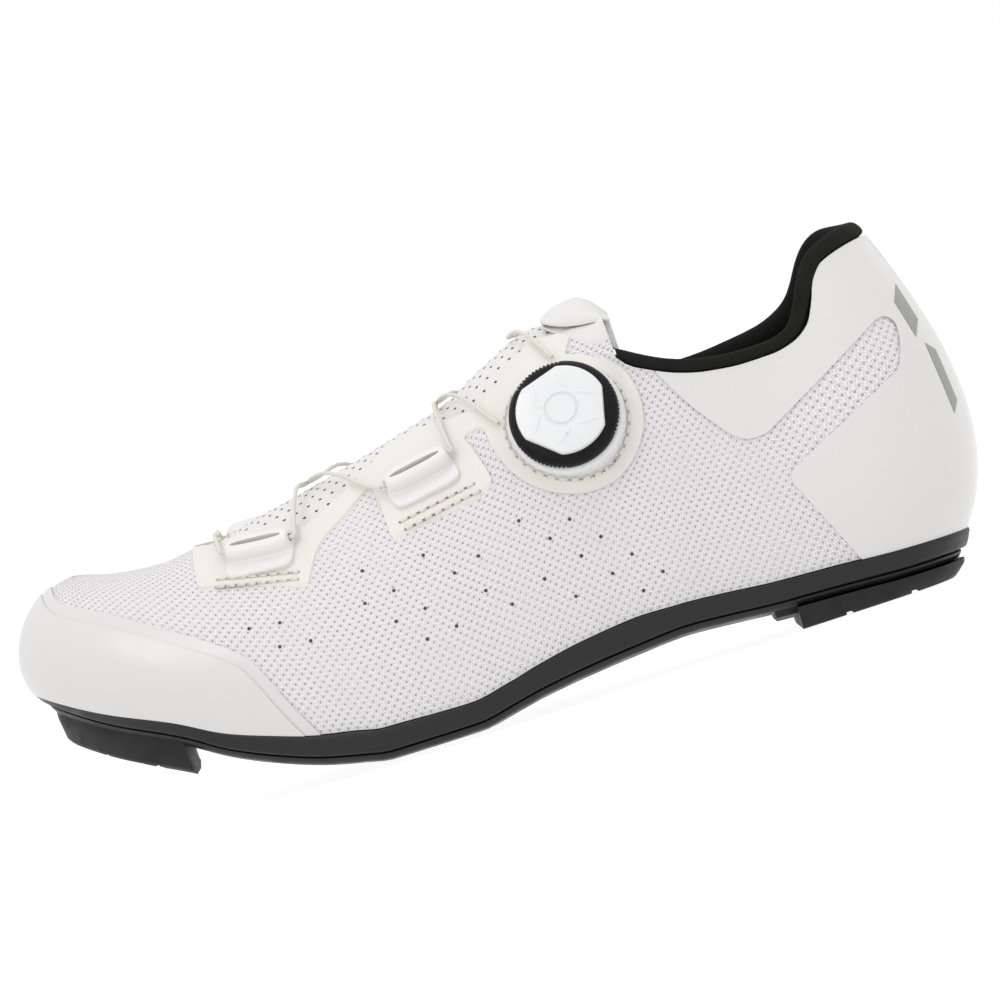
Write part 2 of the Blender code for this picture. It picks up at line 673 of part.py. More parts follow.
def heel_tread(material):
    """Rubber block under the heel, flat below, with a low lip in front."""
    rows = [(0.45, 0, 1, level(0)), (1, -0.0026, 1.3, level(0)), (1, -0.0018, 1.2, level(0.0008)),
            (1, 0.0002, 1, under(-TREAD_GAP)), (0.45, 0, 1, under(-TREAD_GAP))]
    obj = new_object("heel_tread", plate(rows, front=HEEL_TREAD_FRONT, columns=11), material, 35)
    for i, x in enumerate((-GROOVE_REACH, GROOVE_REACH)):
        cut(obj, groove(f"heel_groove_{i}", x, 0))
    lip = [(0.45, 0, 1, under(-LIP_THICKNESS)), (1, -0.0040, 1, under(-LIP_THICKNESS)),
           (1, -0.0030, 1, under(-TREAD_GAP)), (0.45, 0, 1, under(-TREAD_GAP))]
    bm = plate(lip, front=LIP_FRONT, back=HEEL_TREAD_FRONT - 0.002, columns=3)
    new_object("heel_tread_lip", bm, material, 35)


def toe_tread(material):
    """Rubber block under the toe, as thick all along."""
    rows = [(0.45, 0, 1, under(-TREAD_THICKNESS)), (1, -0.0022, 1.1, under(-TREAD_THICKNESS)),
            (1, -0.0014, 1.1, under(0.0010 - TREAD_THICKNESS)), (1, 0.0000, 1, under(-TREAD_GAP)),
            (0.45, 0, 1, under(-TREAD_GAP))]
    obj = new_object("toe_tread", plate(rows, back=TOE_TREAD_BACK, columns=11), material, 35)
    for i, station in enumerate(TOE_GROOVES):
        cut(obj, groove(f"toe_groove_{i}", float(x_of(station)), float(underside(station)) - TREAD_THICKNESS))


def insole(material):
    """Flat bed on the outsole, clear of the upper's wall all round."""
    def low(station, reach):
        return float(feather(station)) + TREAD_GAP

    def high(station, reach):
        return low(station, reach) + INSOLE_THICKNESS

    inset = -(WALL + 0.0010)
    rows = [(0.45, 0, 0, low), (1, inset, 0, low), (1, inset, 0, high), (0.45, 0, 0, high)]
    new_object("insole", plate(rows, columns=20), material, 35)


def layer(name, outer, inner, material, keep=(), away=(), start=0.0):
    """A layer of the skin between two offsets, kept inside some solids and cut away by others."""
    obj = new_object(name, shell(outer, inner, start), material)
    for tool in keep:
        cut(obj, tool, "INTERSECT")
    for tool in away:
        cut(obj, tool)
    return obj


def collar_tilts():
    return [(row.inner - row.height) * INSTEP_HEIGHT / (2 * COLLAR_HALF) for row in COLLAR]


def collar_height(x, y):
    points = side_points(COLLAR)
    xs = [p[0] for p in points]
    tilt = float(np.interp(x, xs, collar_tilts()))
    return float(np.interp(x, xs, [p[1] for p in points])) + tilt * (y + COLLAR_HALF)


def collar_prism(inset):
    """All that lies above the collar's edge, or above a line held off that edge."""
    tilts = collar_tilts()
    edge = [Vector((x, z + tilt * COLLAR_HALF)) for (x, z), tilt in zip(side_points(COLLAR), tilts)]
    moved = []
    for i, point in enumerate(edge):
        along = (edge[min(i + 1, len(edge) - 1)] - edge[max(i - 1, 0)]).normalized()
        moved.append(tuple(point + Vector((-along.y, along.x)) * inset))
    above = [(x_of(1.2), moved[-1][1]), (x_of(1.2), ALOFT), (moved[0][0], ALOFT)]
    return prism(moved + above, "y", -BALL_WIDTH, BALL_WIDTH, tilts + [0.0] * len(above))


def collar_path():
    """Points where the ribs cross the upper's top edge, from the lateral throat corner round the heel to the medial."""
    halves = {}
    for side in (LATERAL, MEDIAL):
        points = []
        for share in np.linspace(0, COLLAR_SHARE, 15):
            ts = np.linspace(0.3, 1, 281)
            rib = np.array([skin_point(share, side, t) for t in ts])
            over = [i for i, p in enumerate(rib) if p[2] > collar_height(p[0], p[1])]
            points.append(Vector(rib[over[0]]))
        halves[side] = points
    return halves[LATERAL][:0:-1] + halves[MEDIAL]


# Section of the collar binding: metres out of the skin and up from the upper's top edge
BindingRow = namedtuple("BindingRow", "out up")
BINDING = [
    BindingRow(0.0011, 0.0004),
    BindingRow(0.0014, 0.0018),
    BindingRow(0.0006, 0.0036),
    BindingRow(-0.0012, 0.0044),
    BindingRow(-0.0033, 0.0038),
    BindingRow(-0.0046, 0.0014),
    BindingRow(-0.0044, -0.0070),
    BindingRow(-0.0034, -0.0100),
    BindingRow(-0.0024, -0.0100),
    BindingRow(-0.0023, 0.0003),
]


def collar_binding(material):
    """Padded textile edge that sits on the upper's top edge and reaches down inside."""
    path = collar_path()
    bm = bmesh.new()
    loops = []
    for i, point in enumerate(path):
        along = (path[min(i + 1, len(path) - 1)] - path[max(i - 1, 0)]).normalized()
        _, normal, _, _ = skin_tree().find_nearest(point)
        centre = Vector((x_of(0.85), 0, point.z))
        normal = normal if normal.dot(point - centre) > 0 else -normal
        normal = (normal - along * normal.dot(along)).normalized()
        up = along.cross(normal)
        up = up if up.z > 0 else -up
        loops.append([bm.verts.new(point + normal * row.out + up * row.up) for row in BINDING])
    for a, b in zip(loops, loops[1:]):
        for i in range(len(BINDING)):
            j = (i + 1) % len(BINDING)
            bm.faces.new([a[i], a[j], b[j], b[i]])
    bm.faces.new(loops[0])
    bm.faces.new(loops[-1][::-1])
    room = cutter("room_of_upper", shell(2 * GAP + FILM, -WALL - GAP))
    cut(room, cutter("collar_held_off", collar_prism(2 * GAP)))
    front, end = float(x_of(0.6)), float(x_of(TONGUE[-1].station)) + 0.0012
    box = [(front, -BALL_WIDTH), (end, -BALL_WIDTH), (end, BALL_WIDTH), (front, BALL_WIDTH)]
    obj = cut(new_object("collar_binding", bm, material, 50), room)
    cut(obj, cutter("beside_tongue", prism(box, "z", THROAT_LOW, ALOFT)))


def dial(white, black, body):
    """Lace dial: fixed housing, knurled ring and three-lobed cap. Returns the solids that mark out its film patch."""
    x, z = x_of(0.628), 0.706 * INSTEP_HEIGHT
    seat, _ = side_seat(x, z, LATERAL)
    lift, turn = math.radians(22), math.radians(4)
    axis = Vector((-math.sin(turn) * math.cos(lift), -math.cos(turn) * math.cos(lift), math.sin(lift)))
    along = Vector((1, 0, 0))
    discs = []
    for name, radius in (("patch_disc", DIAL_PATCH_RADIUS), ("patch_disc_wide", DIAL_PATCH_RADIUS + GAP)):
        rings = [(circle(radius, 32), -radius / 2), (circle(radius, 32), radius / 2)]
        discs.append(cutter(name, turned(turned_rings(rings), seat, axis, along)))
    rings = [(circle(HOUSING_RADIUS, 32), -SEAT_DEPTH), (circle(HOUSING_RADIUS, 32), HOUSING_HEIGHT - 0.0008),
             (circle(HOUSING_RADIUS - 0.0009, 32), HOUSING_HEIGHT)]
    cut(new_object("dial_housing", turned(turned_rings(rings), seat, axis, along), white), body)

    def teeth(angle):
        return 0.0004 * math.cos(DIAL_TEETH * angle)

    low = HOUSING_HEIGHT + GAP
    high = low + DIAL_HEIGHT
    count = 2 * DIAL_TEETH
    rings = [(circle(DIAL_RADIUS - 0.0008, count), low), (circle(DIAL_RADIUS - 0.0004, count, teeth), low + 0.0006),
             (circle(DIAL_RADIUS - 0.0004, count, teeth), high - 0.0012), (circle(DIAL_RADIUS - 0.0020, count), high)]
    new_object("dial_ring", turned(turned_rings(rings), seat, axis, along), black)

    def lobes(angle):
        dips = [math.cos(angle - math.radians(a)) for a in CAP_RECESSES]
        return -0.0022 * max(0.0, (max(dips) - 0.93) / 0.07) ** 0.8

    low = high + GAP
    rings = [(circle(CAP_RADIUS, 44, lobes), low), (circle(CAP_RADIUS, 44, lobes), low + CAP_HEIGHT - 0.0004),
             (circle(CAP_RADIUS - 0.0006, 44, lobes), low + CAP_HEIGHT)]
    new_object("dial_cap", turned(turned_rings(rings), seat, axis, along), white)
    return discs


def guide_frame(row):
    """Seat of a guide on the skin, its outward axis and its length's direction."""
    y = BALL_WIDTH * (THROAT_MIDDLE + row.side * row.half)
    seat, axis = above_seat(float(x_of(row.station)), y)
    slope = math.radians(row.slope)
    across = -(math.cos(slope) * axis.x + math.sin(slope) * axis.z) / axis.y
    return seat, axis, Vector((math.cos(slope), across, math.sin(slope))).normalized()


def guide(row, material, body):
    """Moulded lace guide: a rounded block on its own foot, with a tunnel along it and a slot in its top."""
    seat, axis, along = guide_frame(row)
    length, width, height = GUIDE_LENGTH, GUIDE_WIDTH, GUIDE_HEIGHT
    rings = [(rounded(length, width + 0.0020), -SEAT_DEPTH), (rounded(length, width + 0.0020), 0.0018),
             (rounded(length - 0.0008, width), 0.0026), (rounded(length - 0.0008, width), height - 0.0012),
             (rounded(length - 0.0030, width - 0.0026), height)]
    obj = new_object(row.name, turned(turned_rings(rings), seat, axis, along), material, 35)
    cut(obj, body)
    core = seat + axis * GUIDE_TUNNEL_HEIGHT
    ends = [core - along * length, core + along * length]
    cut(obj, cutter(row.name + "_tunnel", tube(ends, GUIDE_TUNNEL / 2, 8)))
    slot = [(rounded(GUIDE_SLOT_LENGTH, GUIDE_SLOT_WIDTH, 8), GUIDE_TUNNEL_HEIGHT),
            (rounded(GUIDE_SLOT_LENGTH, GUIDE_SLOT_WIDTH, 8), height + 0.001)]
    cut(obj, cutter(row.name + "_slot", turned(turned_rings(slot), seat, axis, along)))


def guide_mouth(name, end):
    """Point just outside a guide's tunnel, at its toe end (-1) or heel end (1)."""
    row = next(row for row in GUIDES if row.name == name)
    seat, axis, along = guide_frame(row)
    return seat + axis * GUIDE_TUNNEL_HEIGHT + along * end * (GUIDE_LENGTH / 2 + LACE_REST)


def lace_lift(y):
    """Height of the lace's middle line off the skin: lower over the tongue than over the film beside the throat."""
    away = abs(y - BALL_WIDTH * THROAT_MIDDLE)
    return LACE_LOW + (LACE_LIFT - LACE_LOW) * min(1.0, max(0.0, (away - 0.005) / 0.006))


def above_plan(row):
    """Point of the lace's middle line over a plan point."""
    y = BALL_WIDTH * row.across
    seat, axis = above_seat(float(x_of(row.station)), y)
    return seat + axis * lace_lift(y)


def lace_line(start, over, finish, steps=4):
    """Line of the lace from one point to another over a third, held off the skin on its way."""
    points = [start]
    for a, b in ((start, over), (over, finish)):
        for i in range(1, steps + 1):
            place = a.lerp(b, i / steps)
            if i < steps:
                seat, axis = above_seat(place.x, place.y)
                place = seat + axis * lace_lift(place.y)
            points.append(place)
    return points


def lace(material):
    """The lace as it lies between the guides: two bars, and two crossings whose bars are joined."""
    radius = LACE_THICKNESS / 2
    front, rear = above_plan(LACE_CROSSING_FRONT), above_plan(LACE_CROSSING_REAR)
    runs = {
        "lace_front": [(guide_mouth("guide_lateral_front", -1), above_plan(LACE_FRONT),
                        guide_mouth("guide_medial_front", -1))],
        "lace_crossing_front": [(guide_mouth("guide_lateral_middle", -1), front, guide_mouth("guide_medial_front", 1)),
                                (guide_mouth("guide_lateral_front", 1), front, guide_mouth("guide_medial_middle", -1))],
        "lace_crossing_rear": [(guide_mouth("guide_lateral_middle", 1), rear, guide_mouth("guide_medial_rear", -1)),
                               (above_plan(DIAL_EXIT_LOWER), rear, guide_mouth("guide_medial_middle", 1))],
        "lace_rear": [(above_plan(DIAL_EXIT_UPPER), above_plan(LACE_REAR), guide_mouth("guide_medial_rear", 1))],
    }
    for name, bars in runs.items():
        obj = new_object(name, tube(lace_line(*bars[0]), radius), material)
        for bar in bars[1:]:
            cut(obj, cutter(name + "_second", tube(lace_line(*bar), radius)), "UNION")


def pull_tab(material):
    """Strip folded over at the tongue's top end, raised in a ridge so that a finger goes under it."""
    bm = bmesh.new()
    middle = BALL_WIDTH * THROAT_MIDDLE
    crest_end = float(x_of(0.690))
    top, bottom = [], []
    for row in PULL_TAB:
        x = float(x_of(row.station))
        strip = []
        for i in range(5):
            seat, axis = above_seat(min(x, crest_end), middle + TAB_WIDTH * (i / 4 - 0.5))
            seat.x = x
            strip.append((seat, axis))
        top.append([bm.verts.new(seat + axis * row.lift * TAB_RISE) for seat, axis in strip])
        bottom.append([bm.verts.new(seat + axis * (row.lift * TAB_RISE - TAB_THICKNESS)) for seat, axis in strip])
    for sheet, flip in ((top, 1), (bottom, -1)):
        for a, b in zip(sheet, sheet[1:]):
            for i in range(4):
                bm.faces.new([a[i], b[i], b[i + 1], a[i + 1]][::flip])
    for i in range(4):
        bm.faces.new([top[0][i], top[0][i + 1], bottom[0][i + 1], bottom[0][i]])
        bm.faces.new([top[-1][i], bottom[-1][i], bottom[-1][i + 1], top[-1][i + 1]])
    for i in range(len(top) - 1):
        bm.faces.new([top[i][0], bottom[i][0], bottom[i + 1][0], top[i + 1][0]])
        bm.faces.new([top[i][4], top[i + 1][4], bottom[i + 1][4], bottom[i][4]])
    return new_object("pull_tab", bm, material)


def main():
    for old in list(bpy.data.objects):
        bpy.data.objects.remove(old, do_unlink=True)
    black = paint("black_plate", (0.004, 0.004, 0.004), 0.35)
    rubber = paint("black_rubber", (0.007, 0.007, 0.006), 0.6)
    knit = paint("white_knit", (0.78, 0.75, 0.77), 0.75)
    gloss = paint("gloss_film", (0.80, 0.80, 0.76), 0.25)
    cream = paint("cream_film", (0.83, 0.82, 0.76), 0.35)
    moulded = paint("white_moulded", (0.85, 0.85, 0.84), 0.3)
    knurl = paint("black_moulded", (0.01, 0.01, 0.01), 0.4)
    textile = paint("black_textile", (0.008, 0.008, 0.007), 0.85)
    microfibre = paint("white_microfibre", (0.80, 0.80, 0.77), 0.6)
    cord = paint("off_white_lace", (0.74, 0.71, 0.65), 0.7)

    outsole(black)
    heel_tread(rubber)
    toe_tread(rubber)
    insole(textile)

    width = BALL_WIDTH
    opening = cutter("collar_opening", collar_prism(0))
    throat = cutter("throat_opening", prism(throat_plan(), "z", THROAT_LOW, ALOFT))
    layer("upper", 0, -WALL, knit, away=[opening, throat])

    cap_edge = side_points(TOE_CAP)
    front = x_of(-0.05)
    cap_area = cutter("toe_cap_area", prism(cap_edge + [(front, FLOOR_CLEAR), (front, ALOFT)], "y", -width, width))
    layer("toe_cap", GAP + FILM, GAP, gloss, keep=[cap_area], start=FILM_START)

    heel_edge = side_points(HEEL_FILM)
    back = x_of(1.1)
    behind = [(back, FLOOR_CLEAR), (back, ALOFT), (heel_edge[0][0], ALOFT)]
    heel_area = cutter("heel_film_area", prism(heel_edge + behind, "y", -width, width))
    layer("heel_film", GAP + FILM, GAP, gloss, keep=[heel_area], away=[opening], start=FILM_START)

    film_top = GAP + FILM
    over_film = cutter("body_under_fittings", shell(film_top + GAP, -TRIM_DEPTH))
    disc, disc_wide = dial(moulded, knurl, over_film)
    layer("dial_patch", film_top, GAP, cream, keep=[disc])
    for name, side in (("eyestay_lateral", LATERAL), ("eyestay_medial", MEDIAL)):
        area = cutter(name + "_area", prism(half_plan(EYESTAY, side), "z", THROAT_LOW, ALOFT))
        layer(name, film_top, GAP, cream, keep=[area], away=[opening, throat, disc_wide])

    under_wall = WALL + GAP
    tongue_side = side_points(TONGUE)
    wider = throat_plan(TONGUE_OVERLAP, 0.012, TONGUE[-1].station)
    tongue_plan = cutter("tongue_plan", prism(wider, "z", TONGUE_LOW, ALOFT))
    over = [(tongue_side[-1][0], ALOFT), (tongue_side[0][0], ALOFT)]
    tongue_area = cutter("tongue_side", prism(tongue_side + over, "y", -width, width))
    layer("tongue", -under_wall, -under_wall - TONGUE_THICKNESS, microfibre, keep=[tongue_plan, tongue_area])
    pull_tab(microfibre)
    collar_binding(textile)
    for row in GUIDES:
        guide(row, moulded, over_film)
    lace(cord)


if __name__ == "__main__":
    main()
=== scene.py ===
"""Looks of the road cycling shoe: camera, light, floor and every visible surface.

The toe points along -x, the outer side of the foot is -y, and the floor is z = 0. The layers of the
upper are built over the same skin as the frame's solids, only finer, and cut by the same outlines with
their corners rounded.
"""

import json
import math
from collections import namedtuple
from functools import lru_cache

import bmesh
import bpy
import numpy as np
from mathutils import Matrix, Vector
from mathutils.bvhtree import BVHTree

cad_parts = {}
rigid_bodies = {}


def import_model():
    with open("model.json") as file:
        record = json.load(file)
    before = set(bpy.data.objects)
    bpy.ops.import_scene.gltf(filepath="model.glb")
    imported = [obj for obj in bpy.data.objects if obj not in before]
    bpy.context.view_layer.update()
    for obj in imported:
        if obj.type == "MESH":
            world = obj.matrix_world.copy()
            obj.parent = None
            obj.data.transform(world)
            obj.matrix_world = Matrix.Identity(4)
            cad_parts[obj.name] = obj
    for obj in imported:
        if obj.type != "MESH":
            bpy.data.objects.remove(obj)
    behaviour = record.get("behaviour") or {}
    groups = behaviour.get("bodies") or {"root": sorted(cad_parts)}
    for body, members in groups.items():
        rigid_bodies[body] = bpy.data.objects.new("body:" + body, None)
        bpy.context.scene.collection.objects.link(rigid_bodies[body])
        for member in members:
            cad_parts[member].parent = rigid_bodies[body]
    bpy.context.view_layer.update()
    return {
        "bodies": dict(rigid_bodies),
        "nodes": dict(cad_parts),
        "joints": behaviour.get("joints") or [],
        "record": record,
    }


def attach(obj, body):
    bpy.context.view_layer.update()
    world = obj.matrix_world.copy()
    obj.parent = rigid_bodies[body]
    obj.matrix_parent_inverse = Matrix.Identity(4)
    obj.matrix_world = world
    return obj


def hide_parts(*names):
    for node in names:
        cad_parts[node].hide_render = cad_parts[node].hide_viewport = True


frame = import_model()


def table(fields, *rows):
    """A table whose rows are read by the names of their columns."""
    kind = namedtuple("Row", fields)
    return [kind(*row) for row in rows]


# Camera fitted to the photo: level with the shoe, rolled, far off and long
CAMERA_TARGET = Vector((-0.0963, 0.0, 0.0616))
CAMERA_DISTANCE = 2.0
CAMERA_WIDTH = 0.292
CAMERA_ELEVATION = math.radians(1.0)
CAMERA_ROLL = math.radians(17.7)
SENSOR = 36.0

# How finely the skin is divided, per side of the shoe and from the feather line to the crest
COLUMNS = 150
ROWS = 44
SOLE_COLUMNS = 110

# Driving sizes in metres
SOLE_LENGTH = 0.2740
HEEL_END = 0.0310
BALL_WIDTH = 0.0925
INSTEP_HEIGHT = 0.1100
TOE_SPRING = 0.0430
ARCH_HEIGHT = 0.0079
SIDE_HEIGHT = 0.0110
CAMBER = 0.0015
STRIP = 0.0022
TUCK = 0.0035
WALL = 0.0020
FILM = 0.0006
GAP = 0.0003
INSOLE_THICKNESS = 0.0035
TONGUE_THICKNESS = 0.0025
TONGUE_OVERLAP = 0.0090
TAB_THICKNESS = 0.0014
TREAD_THICKNESS, TREAD_GAP = 0.0086, 0.0009
BOLT_HOLE = 0.0050
BOLT_DEPTH = 0.0045
BOLT_LENGTH, BOLT_SPREAD = 0.0465, 0.0365
DIAL_PATCH_RADIUS = 0.0220
HOUSING_RADIUS, HOUSING_HEIGHT = 0.0172, 0.0046
DIAL_RADIUS, DIAL_HEIGHT = 0.0160, 0.0047
CAP_RADIUS, CAP_HEIGHT = 0.0134, 0.0013
GUIDE_LENGTH, GUIDE_WIDTH, GUIDE_HEIGHT = 0.0205, 0.0078, 0.0058
GUIDE_TUNNEL, GUIDE_TUNNEL_HEIGHT = 0.0024, 0.0034
GUIDE_SLOT_WIDTH = 0.0015
LACE_THICKNESS = 0.0012
# Height of the lace's middle line off the skin, over the tongue and over the film, and how far it stops
# short of a guide
LACE_LOW, LACE_LIFT = -0.0004, 0.0025
LACE_REST = 0.0012
# Heights between which the cutters of the upper run, how far the cutters of throat and tongue reach down,
# how far the tongue reaches ahead of the throat, and how far the cutter of the dial's patch reaches
FLOOR_CLEAR, ALOFT = -0.010, 0.160
THROAT_LOW, TONGUE_LOW = 0.050, 0.030
TONGUE_AHEAD, PATCH_REACH = 0.012, 0.012
# Shares of a side's feather line, from the heel's back, between which each layer is built, and the share of
# the ribs from which it is
AREAS = {
    "toe": {"first": 0.60},
    "heel": {"last": 0.50},
    "print": {"last": 0.30},
    "eyestay": {"first": 0.30, "last": 0.86, "low": 0.4},
    "tongue": {"first": 0.28, "last": 0.90, "low": 0.4},
    "lining": {"last": 0.44, "low": 0.05},
    "dial": {"first": 0.28, "last": 0.62, "low": 0.3},
}
# Places of the treads as stations, and the grooves across them
HEEL_TREAD_FRONT = 0.799
LIP_FRONT, LIP_THICKNESS = 0.776, 0.0022
TOE_TREAD_BACK = 0.137
TOE_GROOVES = (0.055, 0.105)
GROOVE_WIDTH, GROOVE_DEPTH, GROOVE_REACH = 0.0026, 0.0014, 0.0100
# How much wider a groove is at its mouth and narrower at its bottom, how far its cutter reaches below the
# tread, and how far the heel's grooves begin below it
GROOVE_FLARE, GROOVE_TAPER, GROOVE_CLEAR, HEEL_GROOVE_DROP = 0.0006, 0.0004, 0.002, 0.0006
# Stations of the two rear cleat holes and of the sole's middle between the holes
BOLT_STATION, BOLT_MIDDLE = 0.435, 0.40
# Share of the way from the sole's middle to its outline up to which the underside is flat
FLAT = 0.45

LATERAL, MEDIAL = -1, 1

# The sole from toe (station 0) to heel (station 1). The middle of the underside is spring x TOE_SPRING +
# arch x ARCH_HEIGHT high, the feather line is edge x SIDE_HEIGHT above it, the outline lies at middle +-
# half, shares of BALL_WIDTH, and the foot of the flank tucks in by tuck x TUCK.
SOLE = table(
    "station spring arch edge middle half tuck",
    (0.000, 1.000, 0.00, 0.58, 0.070, 0.300, 0.90),
    (0.023, 0.900, 0.00, 0.61, 0.066, 0.318, 0.80),
    (0.069, 0.721, 0.00, 0.68, 0.058, 0.352, 0.65),
    (0.141, 0.498, 0.00, 0.76, 0.037, 0.402, 0.50),
    (0.187, 0.324, 0.00, 0.82, 0.024, 0.430, 0.30),
    (0.234, 0.191, 0.00, 0.91, 0.010, 0.455, 0.15),
    (0.281, 0.089, 0.00, 0.955, -0.006, 0.477, 0.05),
    (0.318, 0.036, 0.00, 0.99, -0.020, 0.490, 0.00),
    (0.350, 0.000, 0.00, 0.98, -0.031, 0.498, 0.00),
    (0.442, 0.000, 0.00, 0.91, -0.057, 0.478, 0.00),
    (0.489, 0.000, 0.28, 0.91, -0.062, 0.447, 0.00),
    (0.517, 0.000, 0.47, 0.94, -0.062, 0.428, 0.00),
    (0.573, 0.000, 0.72, 1.01, -0.056, 0.392, 0.00),
    (0.628, 0.000, 0.89, 1.03, -0.047, 0.360, 0.00),
    (0.679, 0.000, 1.00, 0.93, -0.036, 0.340, 0.00),
    (0.728, 0.000, 0.90, 0.92, -0.026, 0.325, 0.00),
    (0.777, 0.000, 0.76, 0.90, -0.016, 0.316, 0.00),
    (0.855, 0.000, 0.63, 0.89, -0.005, 0.312, 0.25),
    (0.925, 0.000, 0.50, 0.88, 0.000, 0.306, 0.70),
    (1.000, 0.000, 0.44, 0.86, 0.000, 0.295, 1.00),
)
TOE_ROUND, TOE_POWER = 0.160, 2.1
HEEL_ROUND, HEEL_POWER = 0.105, 2.0

# Ribs of the skin, from the heel's back (share 0 of a side's feather line) to the toe's tip (share 1). A
# rib ends at its top station, at across x BALL_WIDTH and top x INSTEP_HEIGHT. It leaves the sole leaning
# out by lean degrees and reaches its top at drop degrees below level, and reach and hold are its two
# handles, shares of its chord.
RIBS = table(
    "share station lateral medial top lean_out lean_in reach_out reach_in drop hold",
    (0.00, 0.974, 0.000, 0.000, 1.036, 38, 38, 0.36, 0.36, 68, 0.32),
    (0.05, 0.957, -0.125, 0.125, 1.036, 35, 35, 0.36, 0.36, 69, 0.32),
    (0.10, 0.929, -0.205, 0.205, 1.036, 31, 31, 0.35, 0.35, 71, 0.34),
    (0.16, 0.887, -0.250, 0.250, 1.036, 26, 26, 0.34, 0.34, 74, 0.35),
    (0.22, 0.823, -0.275, 0.275, 1.036, 21, 19, 0.33, 0.33, 77, 0.35),
    (0.28, 0.759, -0.262, 0.280, 1.036, 17, 14, 0.32, 0.32, 72, 0.35),
    (0.31, 0.725, -0.200, 0.230, 1.036, 16, 12, 0.32, 0.32, 60, 0.34),
    (0.35, 0.694, 0.042, 0.042, 0.988, 14, 9, 0.32, 0.33, 10, 0.36),
    (0.40, 0.624, 0.042, 0.042, 0.986, 12, 7, 0.32, 0.34, 6, 0.36),
    (0.45, 0.562, 0.045, 0.045, 0.932, 11, 6, 0.32, 0.36, 4, 0.37),
    (0.50, 0.505, 0.050, 0.050, 0.862, 11, 6, 0.32, 0.38, 3, 0.39),
    (0.55, 0.449, 0.054, 0.054, 0.824, 12, 7, 0.32, 0.40, 2, 0.41),
    (0.60, 0.392, 0.058, 0.058, 0.788, 13, 8, 0.31, 0.40, 1, 0.43),
    (0.65, 0.336, 0.062, 0.062, 0.756, 14, 9, 0.31, 0.40, 0, 0.44),
    (0.70, 0.281, 0.066, 0.066, 0.728, 15, 10, 0.32, 0.40, 0, 0.45),
    (0.75, 0.226, 0.068, 0.068, 0.694, 17, 12, 0.34, 0.40, 0, 0.48),
    (0.80, 0.171, 0.070, 0.070, 0.673, 19, 15, 0.36, 0.40, 0, 0.50),
    (0.87, 0.113, 0.070, 0.070, 0.689, 22, 20, 0.39, 0.41, 0, 0.49),
    (0.93, 0.089, 0.070, 0.070, 0.706, 22, 21, 0.39, 0.39, 0, 0.44),
    (1.00, 0.077, 0.070, 0.070, 0.712, 22, 22, 0.39, 0.39, 0, 0.38),
)

# Outlines on the side view of the upper: stations of the sole and heights as shares of INSTEP_HEIGHT

# Top edge of the upper from the throat to the heel, for the outer and the inner side of the foot
COLLAR = table(
    "station height inner",
    (0.697, 0.828, 0.810),
    (0.706, 0.800, 0.785),
    (0.725, 0.771, 0.755),
    (0.752, 0.741, 0.732),
    (0.783, 0.722, 0.733),
    (0.822, 0.713, 0.742),
    (0.854, 0.715, 0.753),
    (0.877, 0.727, 0.768),
    (0.898, 0.759, 0.792),
    (0.909, 0.805, 0.812),
    (0.919, 0.865, 0.840),
    (0.934, 0.903, 0.905),
    (0.955, 0.916, 0.949),
    (0.993, 0.933, 0.938),
    (1.051, 0.936, 0.936),
)
# Half the collar's width, between the places where the two heights hold
COLLAR_HALF = 0.028
# Share of a side's feather line, from the heel's back, under which the collar binding ends
COLLAR_SHARE = 0.322
# Rear edge of the toe cap, from the crest down to the sole
TOE_CAP = table(
    "station height",
    (0.0490, 0.764),
    (0.0505, 0.672),
    (0.0620, 0.646),
    (0.0990, 0.601),
    (0.147, 0.530),
    (0.187, 0.465),
    (0.219, 0.410),
    (0.235, 0.374),
    (0.248, 0.313),
    (0.264, 0.218),
    (0.281, 0.141),
    (0.296, 0.055),
)
# Front edge of the heel film, round the knit stripe that runs up into it
HEEL_FILM = table(
    "station height",
    (0.731, 0.836),
    (0.732, 0.754),
    (0.759, 0.635),
    (0.787, 0.544),
    (0.801, 0.518),
    (0.822, 0.518),
    (0.971, 0.718),
    (0.982, 0.718),
    (0.990, 0.691),
    (0.987, 0.634),
    (0.977, 0.576),
    (0.836, 0.408),
    (0.832, 0.382),
    (0.877, 0.139),
    (0.892, 0.055),
)

# Half widths on each side of the throat's middle line, shares of BALL_WIDTH: the opening itself
THROAT = table(
    "station outer inner",
    (0.205, 0.150, 0.150),
    (0.259, 0.200, 0.190),
    (0.303, 0.262, 0.240),
    (0.330, 0.342, 0.300),
    (0.358, 0.328, 0.290),
    (0.385, 0.290, 0.262),
    (0.423, 0.228, 0.215),
    (0.445, 0.178, 0.175),
    (0.474, 0.182, 0.178),
    (0.498, 0.226, 0.215),
    (0.540, 0.292, 0.255),
    (0.569, 0.270, 0.205),
    (0.611, 0.203, 0.165),
    (0.635, 0.178, 0.160),
    (0.657, 0.205, 0.175),
    (0.679, 0.245, 0.200),
    (0.697, 0.283, 0.215),
    (0.730, 0.283, 0.215),
)
